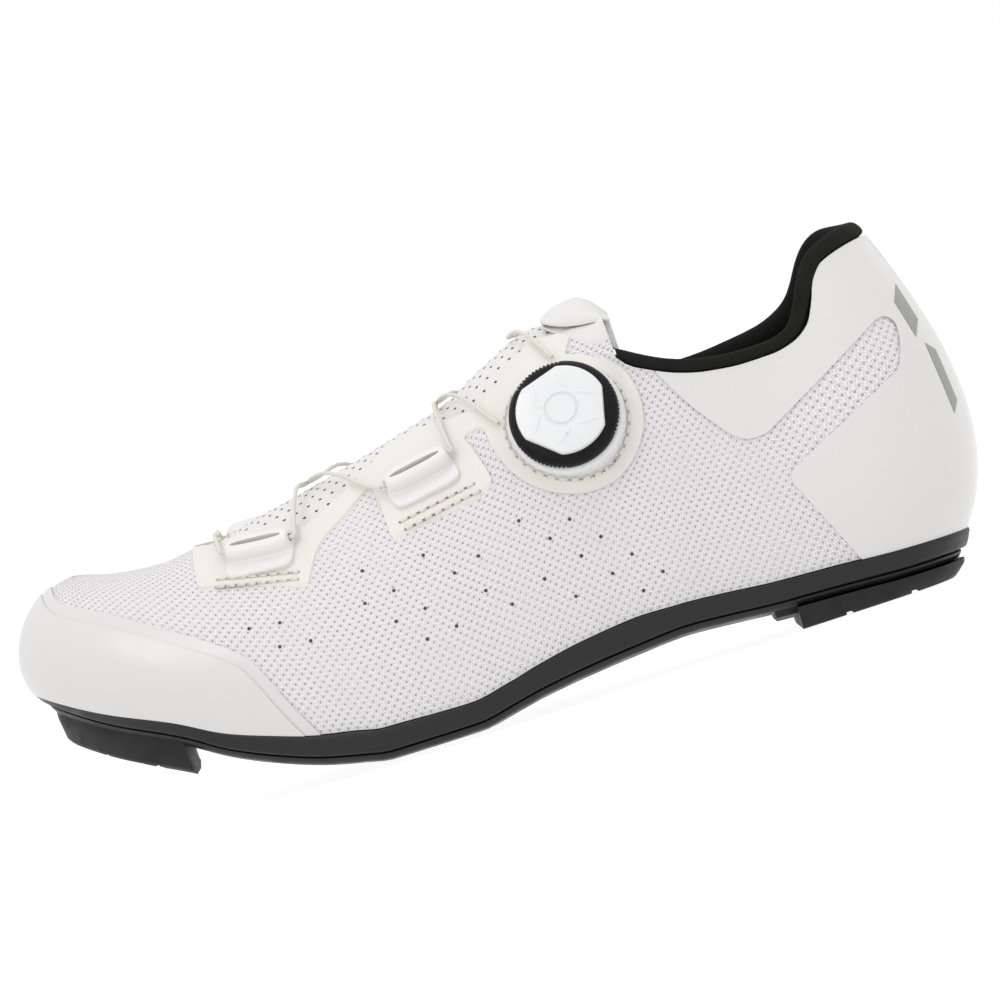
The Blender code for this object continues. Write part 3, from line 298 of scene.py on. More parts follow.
# The same for the outer edge of the eyestay film, with a stitched lobe under each guide
EYESTAY = table(
    "station outer inner",
    (0.2095, 0.020, 0.020),
    (0.2044, 0.333, 0.300),
    (0.3180, 0.479, 0.370),
    (0.3360, 0.424, 0.370),
    (0.3500, 0.402, 0.358),
    (0.3780, 0.373, 0.335),
    (0.4090, 0.327, 0.300),
    (0.4139, 0.393, 0.315),
    (0.4155, 0.489, 0.345),
    (0.5350, 0.453, 0.305),
    (0.5250, 0.386, 0.295),
    (0.5180, 0.335, 0.290),
    (0.5410, 0.345, 0.295),
    (0.5467, 0.426, 0.290),
    (0.6000, 0.400, 0.275),
    (0.6400, 0.300, 0.268),
    (0.6620, 0.190, 0.225),
    (0.6620, 0.020, 0.020),
)
THROAT_MIDDLE = 0.055
THROAT_ROUND = 0.045

# Lower edge of the tongue on the side view
TONGUE = table(
    "station height",
    (0.170, 0.540),
    (0.330, 0.545),
    (0.400, 0.590),
    (0.540, 0.680),
    (0.697, 0.745),
)
# Lace guides: place beside the throat's middle line, and the slope of their length on the side view in
# degrees
GUIDES = table(
    "name side station half slope",
    ("guide_lateral_front", -1, 0.281, 0.332, -4.5),
    ("guide_lateral_middle", -1, 0.4624, 0.371, 9.8),
    ("guide_medial_front", 1, 0.281, 0.262, -2.0),
    ("guide_medial_middle", 1, 0.4624, 0.252, 10.0),
    ("guide_medial_rear", 1, 0.595, 0.245, 20.0),
)
# Where the lace passes over the ridge, and where it leaves the dial, as shares of BALL_WIDTH across
PlanRow = namedtuple("PlanRow", "station across")
LACE_FRONT = PlanRow(0.235, 0.030)
LACE_CROSSING_FRONT = PlanRow(0.343, 0.010)
LACE_CROSSING_REAR = PlanRow(0.500, 0.020)
LACE_REAR = PlanRow(0.5916, 0.030)
DIAL_EXIT_UPPER = PlanRow(0.633, -0.218)
DIAL_EXIT_LOWER = PlanRow(0.560, -0.312)

# Thin layers: how far a film reaches into the knit, the rise of the toe cap's panel, of prints and of the
# dial's patch, the lining, and how far the marks of holes stand off what they lie on
HIDDEN = 0.0002
PANEL_RISE = 0.0004
PRINT = 0.00012
PATCH_TOP = 0.0010
LINING, LINING_DROP = 0.0009, 0.0060
PROUD = 0.00006

# Colours, linear
# The third knit colour is painted shade in the soft dimples round the knit's pits; on the heel film it
# tints the faint pattern of the woven ground
KNIT, KNIT_TINT, KNIT_DIMPLE_SHADE_AND_GROUND = (0.78, 0.765, 0.775), (0.73, 0.71, 0.725), (0.62, 0.59, 0.61)
# Painted shade inside the knit's pits: the dark core of each pit is coloured, not modelled
KNIT_PIT_SHADE = (0.11, 0.10, 0.11)
GLOSS = (0.62, 0.61, 0.60)
COUNTER = (0.65, 0.645, 0.63)
CREAM = (0.69, 0.675, 0.63)
MICROFIBRE = (0.68, 0.67, 0.655)
MOULDED = (0.70, 0.705, 0.71)
GUIDE_WHITE = (0.71, 0.705, 0.69)
BLACK_MOULDED = (0.003, 0.003, 0.003)
BLACK_PLATE = (0.010, 0.010, 0.011)
BLACK_RUBBER = (0.005, 0.005, 0.005)
BLACK_TEXTILE = (0.0085, 0.0085, 0.0075)
LACE, LACE_SHADE = (0.72, 0.69, 0.62), (0.50, 0.47, 0.41)
REFLECTIVE, REFLECTIVE_DARK = (0.36, 0.36, 0.33), (0.26, 0.26, 0.24)
HOLE_SHADE = (0.06, 0.055, 0.06)
STITCH_SHADE = (0.17, 0.155, 0.13)

# Knit: distance between pits along the shoe, and between their rows, in millimetres
KNIT_PITCH, KNIT_ROW = 2.7, 1.45

# Light: strength of the white surround, and the lamps with their place, width and power
SURROUND = 1.0
FLOOR, FLOOR_GLOW = (0.10, 0.10, 0.10), 0.94
LAMPS = [
    ("key", (-1.1, -1.3, 1.5), 1.2, 8.0),
    ("top", (0.2, -0.3, 1.9), 1.4, 5.0),
]

# How far the toe cap's raised panel keeps from the cap's edge
TOE_INSET = 0.0036
# Distances within which the corners of toe cap, heel film, eyestay and collar roll are rounded
CAP_ROUND, HEEL_FILM_ROUND, EYESTAY_ROUND, ROLL_ROUND = 0.010, 0.0022, 0.0016, 0.0012
# Reflective prints near the heel's back: middle on the side view, length, how much longer and higher they
# are at their rear edge than in the middle, width, and lean in degrees
REFLECTORS = table(
    "x z length taper shift width lean",
    (0.0326, 0.0785, 0.0120, 0, 0.0020, 0.0036, 14),
    (0.0370, 0.0570, 0.0190, -0.0030, 0, 0.0024, 5),
)
# Holes in the knit's side band, on the side view: their width and the step from one to the next
KNIT_HOLE = 0.0011
HOLE_STEP = (0.007, -0.0075)
# Slanting rows of them: where each starts, and how many it has
KNIT_HOLES = table(
    "x z count",
    (-0.176, 0.049, 2),
    (-0.167, 0.048, 2),
    (-0.142, 0.046, 3),
    (-0.140, 0.055, 1),
    (-0.133, 0.047, 3),
    (-0.122, 0.054, 3),
    (-0.107, 0.049, 1),
    (-0.102, 0.033, 1),
    (-0.093, 0.055, 5),
    (-0.091, 0.037, 2),
    (-0.079, 0.051, 4),
)
# Holes in the tongue: width, spacing, how far they keep from the throat's edge, the stations between which
# they lie, and rows on each side of the middle
TONGUE_HOLE, TONGUE_PITCH, TONGUE_ROW, TONGUE_MARGIN = 0.0010, 0.0039, 0.0046, 0.0016
TONGUE_HOLES_FRONT, TONGUE_HOLES_BACK, TONGUE_ROWS = 0.232, 0.655, 10
# Rows of stitches below the outer guides: how far below the guide each lies and how far on, and its slope
# in degrees
STITCH_ROWS = table(
    "guide drop shift slope",
    ("guide_lateral_front", 0.0070, -0.0018, -11.5),
    ("guide_lateral_front", 0.0090, -0.0022, -11.5),
    ("guide_lateral_middle", 0.0094, 0.0010, 9.8),
    ("guide_lateral_middle", 0.0119, 0.0015, 9.8),
)
# Stitches in a row, its length, the share of it that a stitch leaves free at each end, and the same for the
# ring of stitches round the dial
STITCHES, STITCH_RUN, STITCH_FREE = 8, 0.0245, 0.12
DIAL_STITCHES, DIAL_STITCH_RADIUS, DIAL_STITCH_FREE = 34, 0.0180, 0.15
# Thread of a stitch, its hole, and how high it lies at its ends, its shoulders and its middle
STITCH_THICKNESS, STITCH_HOLE = 0.00095, 0.0009
STITCH_END, STITCH_SHOULDER, STITCH_CREST = -0.0003, 0.00012, 0.00022
SHOULDER_SHARE = 0.15
# How deep under the skin the moulded pieces begin
SUNK = 0.0030
# The dial's place on the side view, and its axis in degrees above level and ahead of sideways
DIAL_STATION, DIAL_LEVEL = 0.628, 0.706
DIAL_TILT, DIAL_TURN = 22, 4
# Its housing and its ring: how far each turn lies inside the radius and below the top, and the ring's
# share of the knurling
HOUSING_PROFILE = table(
    "inset drop",
    (0, HOUSING_HEIGHT + SUNK),
    (0, 0.0016),
    (0.0002, 0.0008),
    (0.0007, 0.0002),
    (0.0014, 0),
)
RING_PROFILE = table(
    "inset drop knurled",
    (0.0008, DIAL_HEIGHT, 0),
    (0, DIAL_HEIGHT - 0.0005, 1),
    (0, 0.0022, 1),
    (0.0005, 0.0012, 1),
    (0.0014, 0.0003, 0.8),
    (0.0022, 0, 0.2),
    (DIAL_RADIUS - CAP_RADIUS + 0.0030, 0, 0),
)
# Directions of the cap's three recesses in degrees, the share of its radius at which they run straight, and
# the radius of its hub
DIAL_RECESSES = (-13, 107, 227)
CAP_FLAT = 0.90
HUB_RADIUS = 0.0048
CAP_PROFILE = table(
    "inset drop",
    (0, GAP + CAP_HEIGHT + 0.0002),
    (0, 0.0006),
    (0.0002, 0.0002),
    (0.0007, 0),
)
HUB_PROFILE = table(
    "reach lift",
    (CAP_RADIUS * 0.62, 0.00012),
    (HUB_RADIUS + 0.0004, 0.0002),
    (HUB_RADIUS + 0.0001, -0.0002),
    (HUB_RADIUS - 0.0004, -0.0002),
    (HUB_RADIUS - 0.0007, 0.0002),
)
# Knurls of the ring, their depth, and how near the recesses, as a cosine, they fade in
KNURLS, KNURL_DEPTH = 80, 0.00045
KNURL_EDGE, KNURL_FADE = 0.86, 0.03
# Curved lines on the cap: degrees off the recess at the rim and how many more at the hub, how they bend,
# their points, how far they keep from hub and rim, their radius and how deep they are sunk
LINE_RIM, LINE_HUB, LINE_BEND, LINE_POINTS = 20, 40, 1.4, 15
LINE_START, LINE_SHORT, LINE_RADIUS = 0.0004, 0.0030, 0.0010
LINE_SUNK, LINE_END_SUNK = 0.00058, 0.0006
# Guides: how much longer their block is than its solid, the flange's width beyond it and the share of that
# by which it lies further out, and the slot's length and its widths at the tunnel and at the top
BLOCK_STRETCH, FLANGE, FLANGE_SHIFT = 1.03, 0.0062, 0.3
SLOT_LENGTH, SLOT_NARROW, SLOT_WIDE = 0.0160, 0.9, 1.25
# Their flange and block: how much shorter and wider than the block each ring is, and its height
FLANGE_PROFILE = table(
    "shorter wider height",
    (0, FLANGE, -SUNK),
    (0, FLANGE, 0.0012),
    (0.0006, FLANGE - 0.0006, 0.0016),
)
BLOCK_PROFILE = table(
    "shorter wider height",
    (0, 0.0020, -SUNK),
    (0, 0.0020, 0.0013),
    (0.0004, 0.0016, 0.0018),
    (0.0008, 0.0002, 0.0024),
    (0.0008, 0, GUIDE_HEIGHT - 0.0022),
    (0.0012, -0.0006, GUIDE_HEIGHT - 0.0012),
    (0.0022, -0.0018, GUIDE_HEIGHT - 0.0004),
    (0.0040, -0.0036, GUIDE_HEIGHT),
)
# Distance from the middle at which the lace starts to rise over the film, and over which it does
LACE_NEAR, LACE_RISE = 0.005, 0.006
LACE_STEPS = 10
# The collar's roll: its sections on each side, those that turn level at its ends, and its swell at the heel
# with the station where that starts and how long it takes
ROLL_SECTIONS, ROLL_LEAD = 60, 5
ROLL_SWELL, SWELL_START, SWELL_OVER = 0.35, 0.86, 0.10
# The tab on the side view: how high its crest and the edges of its upper and lower leaves lie
TAB_FOLD = table(
    "x crest edge leaf",
    (-0.0690, 0.1084, 0.1076, 0.1060),
    (-0.0665, 0.1098, 0.1063, 0.1040),
    (-0.0630, 0.1110, 0.1050, 0.1020),
    (-0.0580, 0.1114, 0.1040, 0.1000),
    (-0.0540, 0.1094, 0.1036, 0.0975),
    (-0.0520, 0.1072, 0.1033, 0.0955),
    (-0.0500, 0.1046, 0.1026, 0.0935),
)
# Its width, the distance between its leaves, how round they are across, and their points along and across
TAB_SPAN, LEAF_GAP, TAB_DOME = 0.0250, 0.0012, 2.2
TAB_COLUMNS, TAB_STRIPS = 31, 17
# Section of the outsole, from the flat of its underside out and up its strip, and on up its flank: heights
# are shares of each
STRIP_SECTION = table(
    "reach offset lift",
    (FLAT, 0, 0),
    (0.8, 0, 0),
    (0.97, -0.0012, 0),
    (1, -0.0010, 0.10),
    (1, -0.0001, 0.55),
    (1, 0.0002, 0.8),
    (1, -0.0002, 0.96),
    (1, -0.0006, 1),
)
FLANK_SECTION = table(
    "offset tuck rise",
    (0.0002, 0.95, 0.02),
    (0.0013, 0.9, 0.07),
    (0.0016, 0.8, 0.15),
    (0.0015, 0.65, 0.28),
    (0.0014, 0.5, 0.42),
    (0.0013, 0.3, 0.66),
    (0.0012, 0.1, 0.86),
    (0.0009, 0.05, 0.97),
    (0.0004, 0, 1),
)
# How far the treads reach into the outsole, the insole's gap to the upper, and the round of its rim
TREAD_SUNK, INSOLE_GAP, INSOLE_ROUND = 0.0002, 0.0004, 0.0006

# Section of the collar binding: metres out of the skin and up from the upper's top edge
BINDING = table(
    "out up",
    (0.0011, 0.0004),
    (0.0014, 0.0018),
    (0.0006, 0.0036),
    (-0.0012, 0.0044),
    (-0.0033, 0.0038),
    (-0.0046, 0.0014),
    (-0.0044, -0.0070),
    (-0.0034, -0.0100),
    (-0.0024, -0.0100),
    (-0.0023, 0.0003),
)

# Plain surfaces: colour, scale and limits of their roughness, scale, detail, depth and strength of their
# grain, shine, and clear coat
SURFACES = table(
    "key name colour blotch low high grain detail depth strength shine coat",
    ("gloss", "gloss_film", GLOSS, 90, 0.28, 0.38, 700, 2, 0.00004, 0.5, 0.5, 0.25),
    ("cream", "cream_film", CREAM, 120, 0.30, 0.42, 900, 2, 0.00006, 0.6, 0.5, 0),
    ("microfibre", "microfibre", MICROFIBRE, 300, 0.52, 0.68, 1500, 4, 0.00012, 0.6, 0.5, 0),
    ("moulded", "white_moulded", MOULDED, 220, 0.25, 0.35, 1800, 2, 0.00002, 0.15, 0.5, 0),
    ("guide", "guide_moulded", GUIDE_WHITE, 220, 0.29, 0.39, 1800, 2, 0.00002, 0.15, 0.45, 0),
    ("black_moulded", "black_moulded", BLACK_MOULDED, 220, 0.40, 0.50, 1800, 2, 0.00002, 0.15, 0.18, 0),
    ("plate", "black_plate", BLACK_PLATE, 150, 0.35, 0.49, 1400, 3, 0.00003, 0.7, 0.35, 0),
    ("rubber", "black_rubber", BLACK_RUBBER, 150, 0.51, 0.65, 1400, 3, 0.00010, 0.7, 0.35, 0),
)
GLOSS_COAT_ROUGHNESS = 0.22

TOOLS = []


def reader(rows, key, column):
    """Return a smooth function through one column of a table, with no overshoot between its rows."""
    xs = np.array([getattr(row, key) for row in rows], float)
    ys = np.array([getattr(row, column) for row in rows], float)
    steps = np.diff(xs)
    slopes = np.diff(ys) / steps
    tangents = np.zeros_like(ys)
    tangents[0], tangents[-1] = slopes[0], slopes[-1]
    for i in range(1, len(ys) - 1):
        before, after = slopes[i - 1], slopes[i]
        if before * after > 0:
            near, far = 2 * steps[i] + steps[i - 1], steps[i] + 2 * steps[i - 1]
            tangents[i] = (near + far) / (near / before + far / after)

    def value(x):
        x = np.clip(x, xs[0], xs[-1])
        i = np.clip(np.searchsorted(xs, x) - 1, 0, len(steps) - 1)
        t = (x - xs[i]) / steps[i]
        rise = ys[i] * (2 * t**3 - 3 * t**2 + 1) + ys[i + 1] * (3 * t**2 - 2 * t**3)
        return rise + steps[i] * (tangents[i] * (t**3 - 2 * t**2 + t) + tangents[i + 1] * (t**3 - t**2))

    return value


SPRING, ARCH, EDGE, MIDDLE, HALF, TUCKED = (reader(SOLE, "station", c) for c in SOLE[0]._fields[1:])


def x_of(station):
    return HEEL_END - (1 - station) * SOLE_LENGTH


def station_of(x):
    return 1 - (HEEL_END - x) / SOLE_LENGTH


def underside(station):
    return TOE_SPRING * SPRING(station) + ARCH_HEIGHT * ARCH(station)


def feather(station):
    """Height of the line where upper and sole meet."""
    return underside(station) + SIDE_HEIGHT * EDGE(station)


def closing(share, power):
    return (1 - (1 - np.clip(share, 0, 1)) ** power) ** (1 / power)


def outline(station, side):
    """Sideways place of the feather line, whose ends are round."""
    ends = closing(station / TOE_ROUND, TOE_POWER) * closing((1 - station) / HEEL_ROUND, HEEL_POWER)
    return BALL_WIDTH * (MIDDLE(station) + side * HALF(station) * ends)


@lru_cache(maxsize=None)
def walk(side):
    """Shares of a side's feather line from the heel's back to the toe's tip, and their stations."""
    stations = 0.5 + 0.5 * np.cos(np.linspace(0, math.pi, 721))
    steps = np.hypot(np.diff(x_of(stations)), np.diff(outline(stations, side)))
    lengths = np.concatenate([[0], np.cumsum(steps)])
    return lengths / lengths[-1], stations


def foot_point(share, side, out=0.0):
    """Point of the feather line, moved out of the shoe in plan."""
    shares, stations = walk(side)
    small = 0.004
    low, high = (np.interp(np.clip(share + d, 0, 1), shares, stations) for d in (-small, small))
    u = np.interp(share, shares, stations)
    along = np.array([x_of(high) - x_of(low), outline(high, side) - outline(low, side)])
    if share < small or share > 1 - small:
        along = np.array([0.0, side * (1.0 if share < small else -1.0)])
    normal = np.array([-along[1], along[0]]) * -side
    normal /= np.linalg.norm(normal)
    return np.array([x_of(u) + out * normal[0], outline(u, side) + out * normal[1], feather(u)]), u


RIB = {name: reader(RIBS, "share", name) for name in RIBS[0]._fields[1:]}


@lru_cache(maxsize=None)
def rib(share, side):
    """The four control points of the skin's rib at a share of the feather line."""
    foot, _ = foot_point(share, side)
    across = RIB["lateral" if side == LATERAL else "medial"](share)
    top = np.array([x_of(RIB["station"](share)), BALL_WIDTH * across, INSTEP_HEIGHT * RIB["top"](share)])
    chord = np.linalg.norm(top - foot)
    out = foot - top
    out[2] = 0
    out /= np.linalg.norm(out)
    up = np.array([0.0, 0.0, 1.0])
    lean = math.radians(RIB["lean_out" if side == LATERAL else "lean_in"](share))
    reach = RIB["reach_out" if side == LATERAL else "reach_in"](share) * chord
    drop = math.radians(RIB["drop"](share))
    first = foot + reach * (out * math.sin(lean) + up * math.cos(lean))
    second = top + RIB["hold"](share) * chord * (out * math.cos(drop) - up * math.sin(drop))
    return foot, first, second, top


def rib_points(share, side, ts):
    """Points of the skin along a rib, t from 0 at the sole to 1 at the crest."""
    foot, first, second, top = rib(share, side)
    t = ts[:, None]
    return foot * (1 - t) ** 3 + first * 3 * t * (1 - t) ** 2 + second * 3 * t**2 * (1 - t) + top * t**3


def skin_sheet(first=0.0, last=1.0, low=0.0, sides=(LATERAL, MEDIAL)):
    """The skin as one open sheet between two shares, from a share of each rib up.

    Its texture coordinates are millimetres along the feather line and up the ribs.
    """
    bm = bmesh.new()
    weave = bm.loops.layers.uv.new("weave")
    ts = np.linspace(0, 1, ROWS + 1)
    begin = int(low * ROWS)
    count = max(4, round((last - first) * COLUMNS))
    for side in sides:
        columns = []
        places = {}
        for share in np.linspace(first, last, count + 1):
            points = rib_points(float(share), side, ts)
            climb = np.concatenate([[0], np.cumsum(np.linalg.norm(np.diff(points, axis=0), axis=1))])
            column = [bm.verts.new(p) for p in points[begin:]]
            for vert, height in zip(column, climb[begin:]):
                places[vert] = (1000 * share * side_length(side), 1000 * height)
            columns.append(column)
        for left, right in zip(columns, columns[1:]):
            for j in range(len(left) - 1):
                quad = [left[j], right[j], right[j + 1], left[j + 1]]
                face = bm.faces.new(quad if side == LATERAL else quad[::-1])
                for loop in face.loops:
                    loop[weave].uv = places[loop.vert]
    bmesh.ops.remove_doubles(bm, verts=bm.verts, dist=1e-6)
    bm.normal_update()
    return bm


@lru_cache(maxsize=None)
def side_length(side):
    _, stations = walk(side)
    return float(np.sum(np.hypot(np.diff(x_of(stations)), np.diff(outline(stations, side)))))


def shell(outer, inner, **area):
    """A closed layer between two offsets from the skin."""
    bm = skin_sheet(**area)
    sheet = list(bm.verts)
    normals = [v.normal.copy() for v in sheet]
    middle = Vector((x_of(0.5), 0, 0.03))
    outward = 1 if sum(n.dot(v.co - middle) for v, n in zip(sheet, normals)) > 0 else -1
    faces = list(bm.faces)
    rims = [e for e in bm.edges if len(e.link_faces) == 1]
    twin = {v: bm.verts.new(v.co + n * outward * inner) for v, n in zip(sheet, normals)}
    for edge in rims:
        loop = edge.link_loops[0]
        a, b = loop.vert, loop.link_loop_next.vert
        bm.faces.new([b, a, twin[a], twin[b]])
    for face in faces:
        bm.faces.new([twin[v] for v in reversed(face.verts)])
    for v, n in zip(sheet, normals):
        v.co = v.co + n * outward * outer
    bmesh.ops.triangulate(bm, faces=bm.faces)
    return bm


def share_at(station, side):
    shares, stations = walk(side)
    return float(np.interp(-station, -stations, shares))


def spine_point(station):
    """Middle of the sole that the outline point at a station looks back to, inside the round ends."""
    inner = np.clip(station, 0.9 * TOE_ROUND, 1 - 0.9 * HEEL_ROUND)
    return np.array([x_of(inner), BALL_WIDTH * MIDDLE(inner)])


def band(bm, rings):
    """Join each closed ring of vertices to the next."""
    for lower, upper in zip(rings, rings[1:]):
        for i in range(len(lower)):
            j = (i + 1) % len(lower)
            bm.faces.new([lower[i], lower[j], upper[j], upper[i]])


def loft(bm, rings):
    """A closed solid from rings of vertices with the same count."""
    band(bm, rings)
    bm.faces.new(rings[0][::-1])
    bm.faces.new(rings[-1])


def end_strips(bm, rings):
    """Close the first and last ring, whose second halves run back beside their first ones."""
    for ring in (rings[0], rings[-1]):
        for i in range(len(ring) // 2 - 1):
            bm.faces.new([ring[i], ring[i + 1], ring[-i - 2], ring[-i - 1]])


def plate(rows, front=0.0, back=1.0, columns=SOLE_COLUMNS):
    """A closed solid that follows the sole's outline between two stations.

    Each row is a ring: its reach (0 at the spine, 1 at the outline), its offset out of the outline, how
    much of the tuck it takes, and its height as a function of station and reach.
    """
    bm = bmesh.new()
    shares = {}
    for side in (LATERAL, MEDIAL):
        shares[side] = np.linspace(share_at(back, side), share_at(front, side), columns + 1)
    tips = [i for i, open_end in ((0, back < 1), (columns, front > 0)) if not open_end]
    rings = []
    for reach, offset, tucked, height in rows:
        ring = {}
        for side in (LATERAL, MEDIAL):
            for i, share in enumerate(shares[side]):
                if side == MEDIAL and i in tips:
                    ring[side, i] = ring[LATERAL, i]
                    continue
                tuck = TUCK * tucked * float(TUCKED(foot_point(share, side)[1]))
                place, station = foot_point(share, side, offset - tuck)
                spine = spine_point(station)
                x, y = spine + reach * (place[:2] - spine)
                ring[side, i] = bm.verts.new((x, y, height(station_of(x), reach)))
        rings.append(ring)
    for lower, upper in zip(rings, rings[1:]):
        for side in (LATERAL, MEDIAL):
            for i in range(columns):
                bm.faces.new([lower[side, i], lower[side, i + 1], upper[side, i + 1], upper[side, i]])
    for ring in (rings[0], rings[-1]):
        for i in range(columns):
            face = [ring[LATERAL, i], ring[LATERAL, i + 1], ring[MEDIAL, i + 1], ring[MEDIAL, i]]
            bm.faces.new(list(dict.fromkeys(face)))
    for i in (0, columns):
        if i not in tips:
            end = [ring[LATERAL, i] for ring in rings] + [ring[MEDIAL, i] for ring in reversed(rings)]
            bm.faces.new(end)
    return bm


def camber(reach):
    """The underside is flat in the middle and lifts towards its edge."""
    return CAMBER * max(0.0, (reach - FLAT) / (1 - FLAT)) ** 1.5


def under(lift=0.0):
    """Height of the underside, lifted by a given size."""
    return lambda station, reach: float(underside(station)) + camber(reach) + lift


def level(height):
    return lambda station, reach: height


def flank(share):
    """Height on the plate's flank, from the top of its strip (0) to the feather line less the gap (1)."""
    def height(station, reach):
        low = underside(station) + CAMBER + STRIP
        return float(low + share * (feather(station) - GAP - low))
    return height


def prism(points, axis, low, high):
    """A closed prism over a polygon: along y over side view points, or along z over plan points."""
    bm = bmesh.new()
    ends = []
    for at in (low, high):
        places = [(a, at, b) if axis == "y" else (a, b, at) for a, b in points]
        ends.append([bm.verts.new(place) for place in places])
    loft(bm, ends)
    return bm


def side_points(rows):
    return [(float(x_of(row.station)), row.height * INSTEP_HEIGHT) for row in rows]


def throat_plan(margin=0.0, ahead=0.0, end=THROAT[-1].station):
    """Plan polygon of the throat, widened by a margin and lengthened ahead."""
    first = THROAT[0].station - ahead / SOLE_LENGTH
    stations = first + (end - first) * np.linspace(0, 1, 25) ** 1.3
    edges = []
    for side, column in ((LATERAL, "outer"), (MEDIAL, "inner")):
        half = reader(THROAT, "station", column)
        edge = []
        for u in stations:
            width = (BALL_WIDTH * float(half(u)) + margin) * float(closing((u - first) / THROAT_ROUND, 2))
            edge.append((float(x_of(u)), BALL_WIDTH * THROAT_MIDDLE + side * width))
        edges.append(edge)
    return edges[0] + edges[1][:0:-1]


def half_plan(rows, side):
    """Plan polygon of one side of a table of half widths."""
    halves = [row.outer if side == LATERAL else row.inner for row in rows]
    xs = [float(x_of(row.station)) for row in rows]
    return [(x, BALL_WIDTH * (THROAT_MIDDLE + side * half)) for x, half in zip(xs, halves)]


def turned(bm, seat, axis, along):
    """Place a bmesh whose own z is to lie on axis and whose own x on along, at a seat."""
    z = axis.normalized()
    y = z.cross(along).normalized()
    x = y.cross(z)
    frame = Matrix((x, y, z)).transposed().to_4x4()
    frame.translation = seat
    bmesh.ops.transform(bm, matrix=frame, verts=bm.verts)
    return bm


def turned_rings(rings):
    """A closed solid from rings of plane points, each with its own height, all with the same count."""
    bm = bmesh.new()
    loft(bm, [[bm.verts.new((x, y, z)) for x, y in points] for points, z in rings])
    return bm


def circle(radius, count, wave=lambda angle: 0.0):
    angles = [2 * math.pi * i / count for i in range(count)]
    return [((radius + wave(a)) * math.cos(a), (radius + wave(a)) * math.sin(a)) for a in angles]


def rounded(length, width, count, power):
    """Ring of a plate with round ends, between an ellipse and a rectangle."""
    points = []
    for i in range(count):
        angle = 2 * math.pi * (i + 0.5) / count
        a, b = math.cos(angle), math.sin(angle)
        x, y = math.copysign(abs(a) ** power, a), math.copysign(abs(b) ** power, b)
        points.append((x * length / 2, y * width / 2))
    return points


def tube(points, radius, count):
    """A closed round bar along a line of points."""
    bm = bmesh.new()
    loops = []
    for i, point in enumerate(points):
        along = (points[min(i + 1, len(points) - 1)] - points[max(i - 1, 0)]).normalized()
        first = along.cross(Vector((1, 0, 0)) if abs(along.x) < 0.8 else Vector((0, 0, 1))).normalized()
        second = along.cross(first)
        loops.append([bm.verts.new(point + radius * (first * a + second * b)) for a, b in circle(1, count)])
    loft(bm, loops)
    return bm


def solid(name, bm):
    """Turn a bmesh into a named object with its faces looking out."""
    mesh = bpy.data.meshes.new(name)
    bmesh.ops.recalc_face_normals(bm, faces=bm.faces)
    if bm.calc_volume(signed=True) < 0:
        bmesh.ops.reverse_faces(bm, faces=bm.faces)
    bm.to_mesh(mesh)
    bm.free()
    obj = bpy.data.objects.new(name, mesh)
    bpy.context.scene.collection.objects.link(obj)
    return obj


def tool(name, bm):
    """A solid that only cuts others."""
    bmesh.ops.triangulate(bm, faces=bm.faces)
    obj = solid(name, bm)
    TOOLS.append(obj)
    return obj


def carve(obj, keep=(), away=()):
    """Keep what lies in some solids, take away what lies in others, and apply it."""
    for operation, solids in (("INTERSECT", keep), ("DIFFERENCE", away)):
        for other in solids:
            modifier = obj.modifiers.new(other.name, "BOOLEAN")
            modifier.solver = "MANIFOLD"
            modifier.operation = operation
            modifier.object = other
    mesh = bpy.data.meshes.new_from_object(obj.evaluated_get(bpy.context.evaluated_depsgraph_get()))
    obj.modifiers.clear()
    obj.data = mesh
    return obj


def layer(name, body, look, slot, *nodes, keep=(), away=(), sharp=38):
    """Finish a closed body as a visible piece after other solids have cut it."""
    return piece(carve(solid(name, body), keep, away), look, slot, *nodes, sharp=sharp)


def piece(obj, look, slot, *nodes, sharp=38):
    """Finish an object as a visible piece that stands for some nodes of the frame."""
    obj.data.shade_smooth()
    obj.data.set_sharp_from_angle(angle=math.radians(sharp))
    obj.data.materials.clear()
    obj.data.materials.append(look)
    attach(obj, "root")
    if nodes:
        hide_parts(*nodes)
    return obj


def softened(points, radius, closed=False, steps=5):
    """A polyline whose corners are rounded off within a distance of each."""
    line = []
    for i, point in enumerate(points):
        if not closed and i in (0, len(points) - 1):
            line.append(point)
            continue
        corner = np.array(point)
        ends = []
        for other in (points[i - 1], points[(i + 1) % len(points)]):
            away = np.array(other) - corner
            ends.append(corner + away * min(radius / np.linalg.norm(away), 0.45))
        for t in np.linspace(0, 1, steps + 1):
            line.append(tuple(ends[0] * (1 - t) ** 2 + 2 * corner * t * (1 - t) + ends[1] * t**2))
    return line


COLLAR_OUTER, COLLAR_INNER = reader(COLLAR, "station", "height"), reader(COLLAR, "station", "inner")


def collar_height(x, y):
    """Height of the upper's top edge over a plan point."""
    station = station_of(x)
    outer, inner = float(COLLAR_OUTER(station)), float(COLLAR_INNER(station))
    return INSTEP_HEIGHT * (outer + (inner - outer) * (y + COLLAR_HALF) / (2 * COLLAR_HALF))


def above_collar(inset):
    """All that lies above the collar's edge, or above a line held off that edge."""
    xs = np.linspace(x_of(COLLAR[0].station), x_of(COLLAR[-1].station), 100)
    bm = bmesh.new()
    rows = []
    for y in np.linspace(-BALL_WIDTH / 2, BALL_WIDTH / 2, 15):
        edge = np.array([(x, collar_height(x, y)) for x in xs])
        along = np.gradient(edge, axis=0)
        along /= np.linalg.norm(along, axis=1)[:, None]
        moved = edge + inset * np.stack([-along[:, 1], along[:, 0]], axis=1)
        moved[:, 0] = np.maximum.accumulate(moved[:, 0])
        moved[:, 0] += np.linspace(0, 1e-5, len(xs))
        moved = [tuple(p) for p in moved] + [(x_of(1.2), moved[-1][1])]
        rows.append([bm.verts.new((x, y, z)) for x, z in moved])
        rows[-1] += [bm.verts.new((x, y, ALOFT)) for x, z in reversed(moved)]
    band(bm, rows)
    end_strips(bm, rows)
    return bm


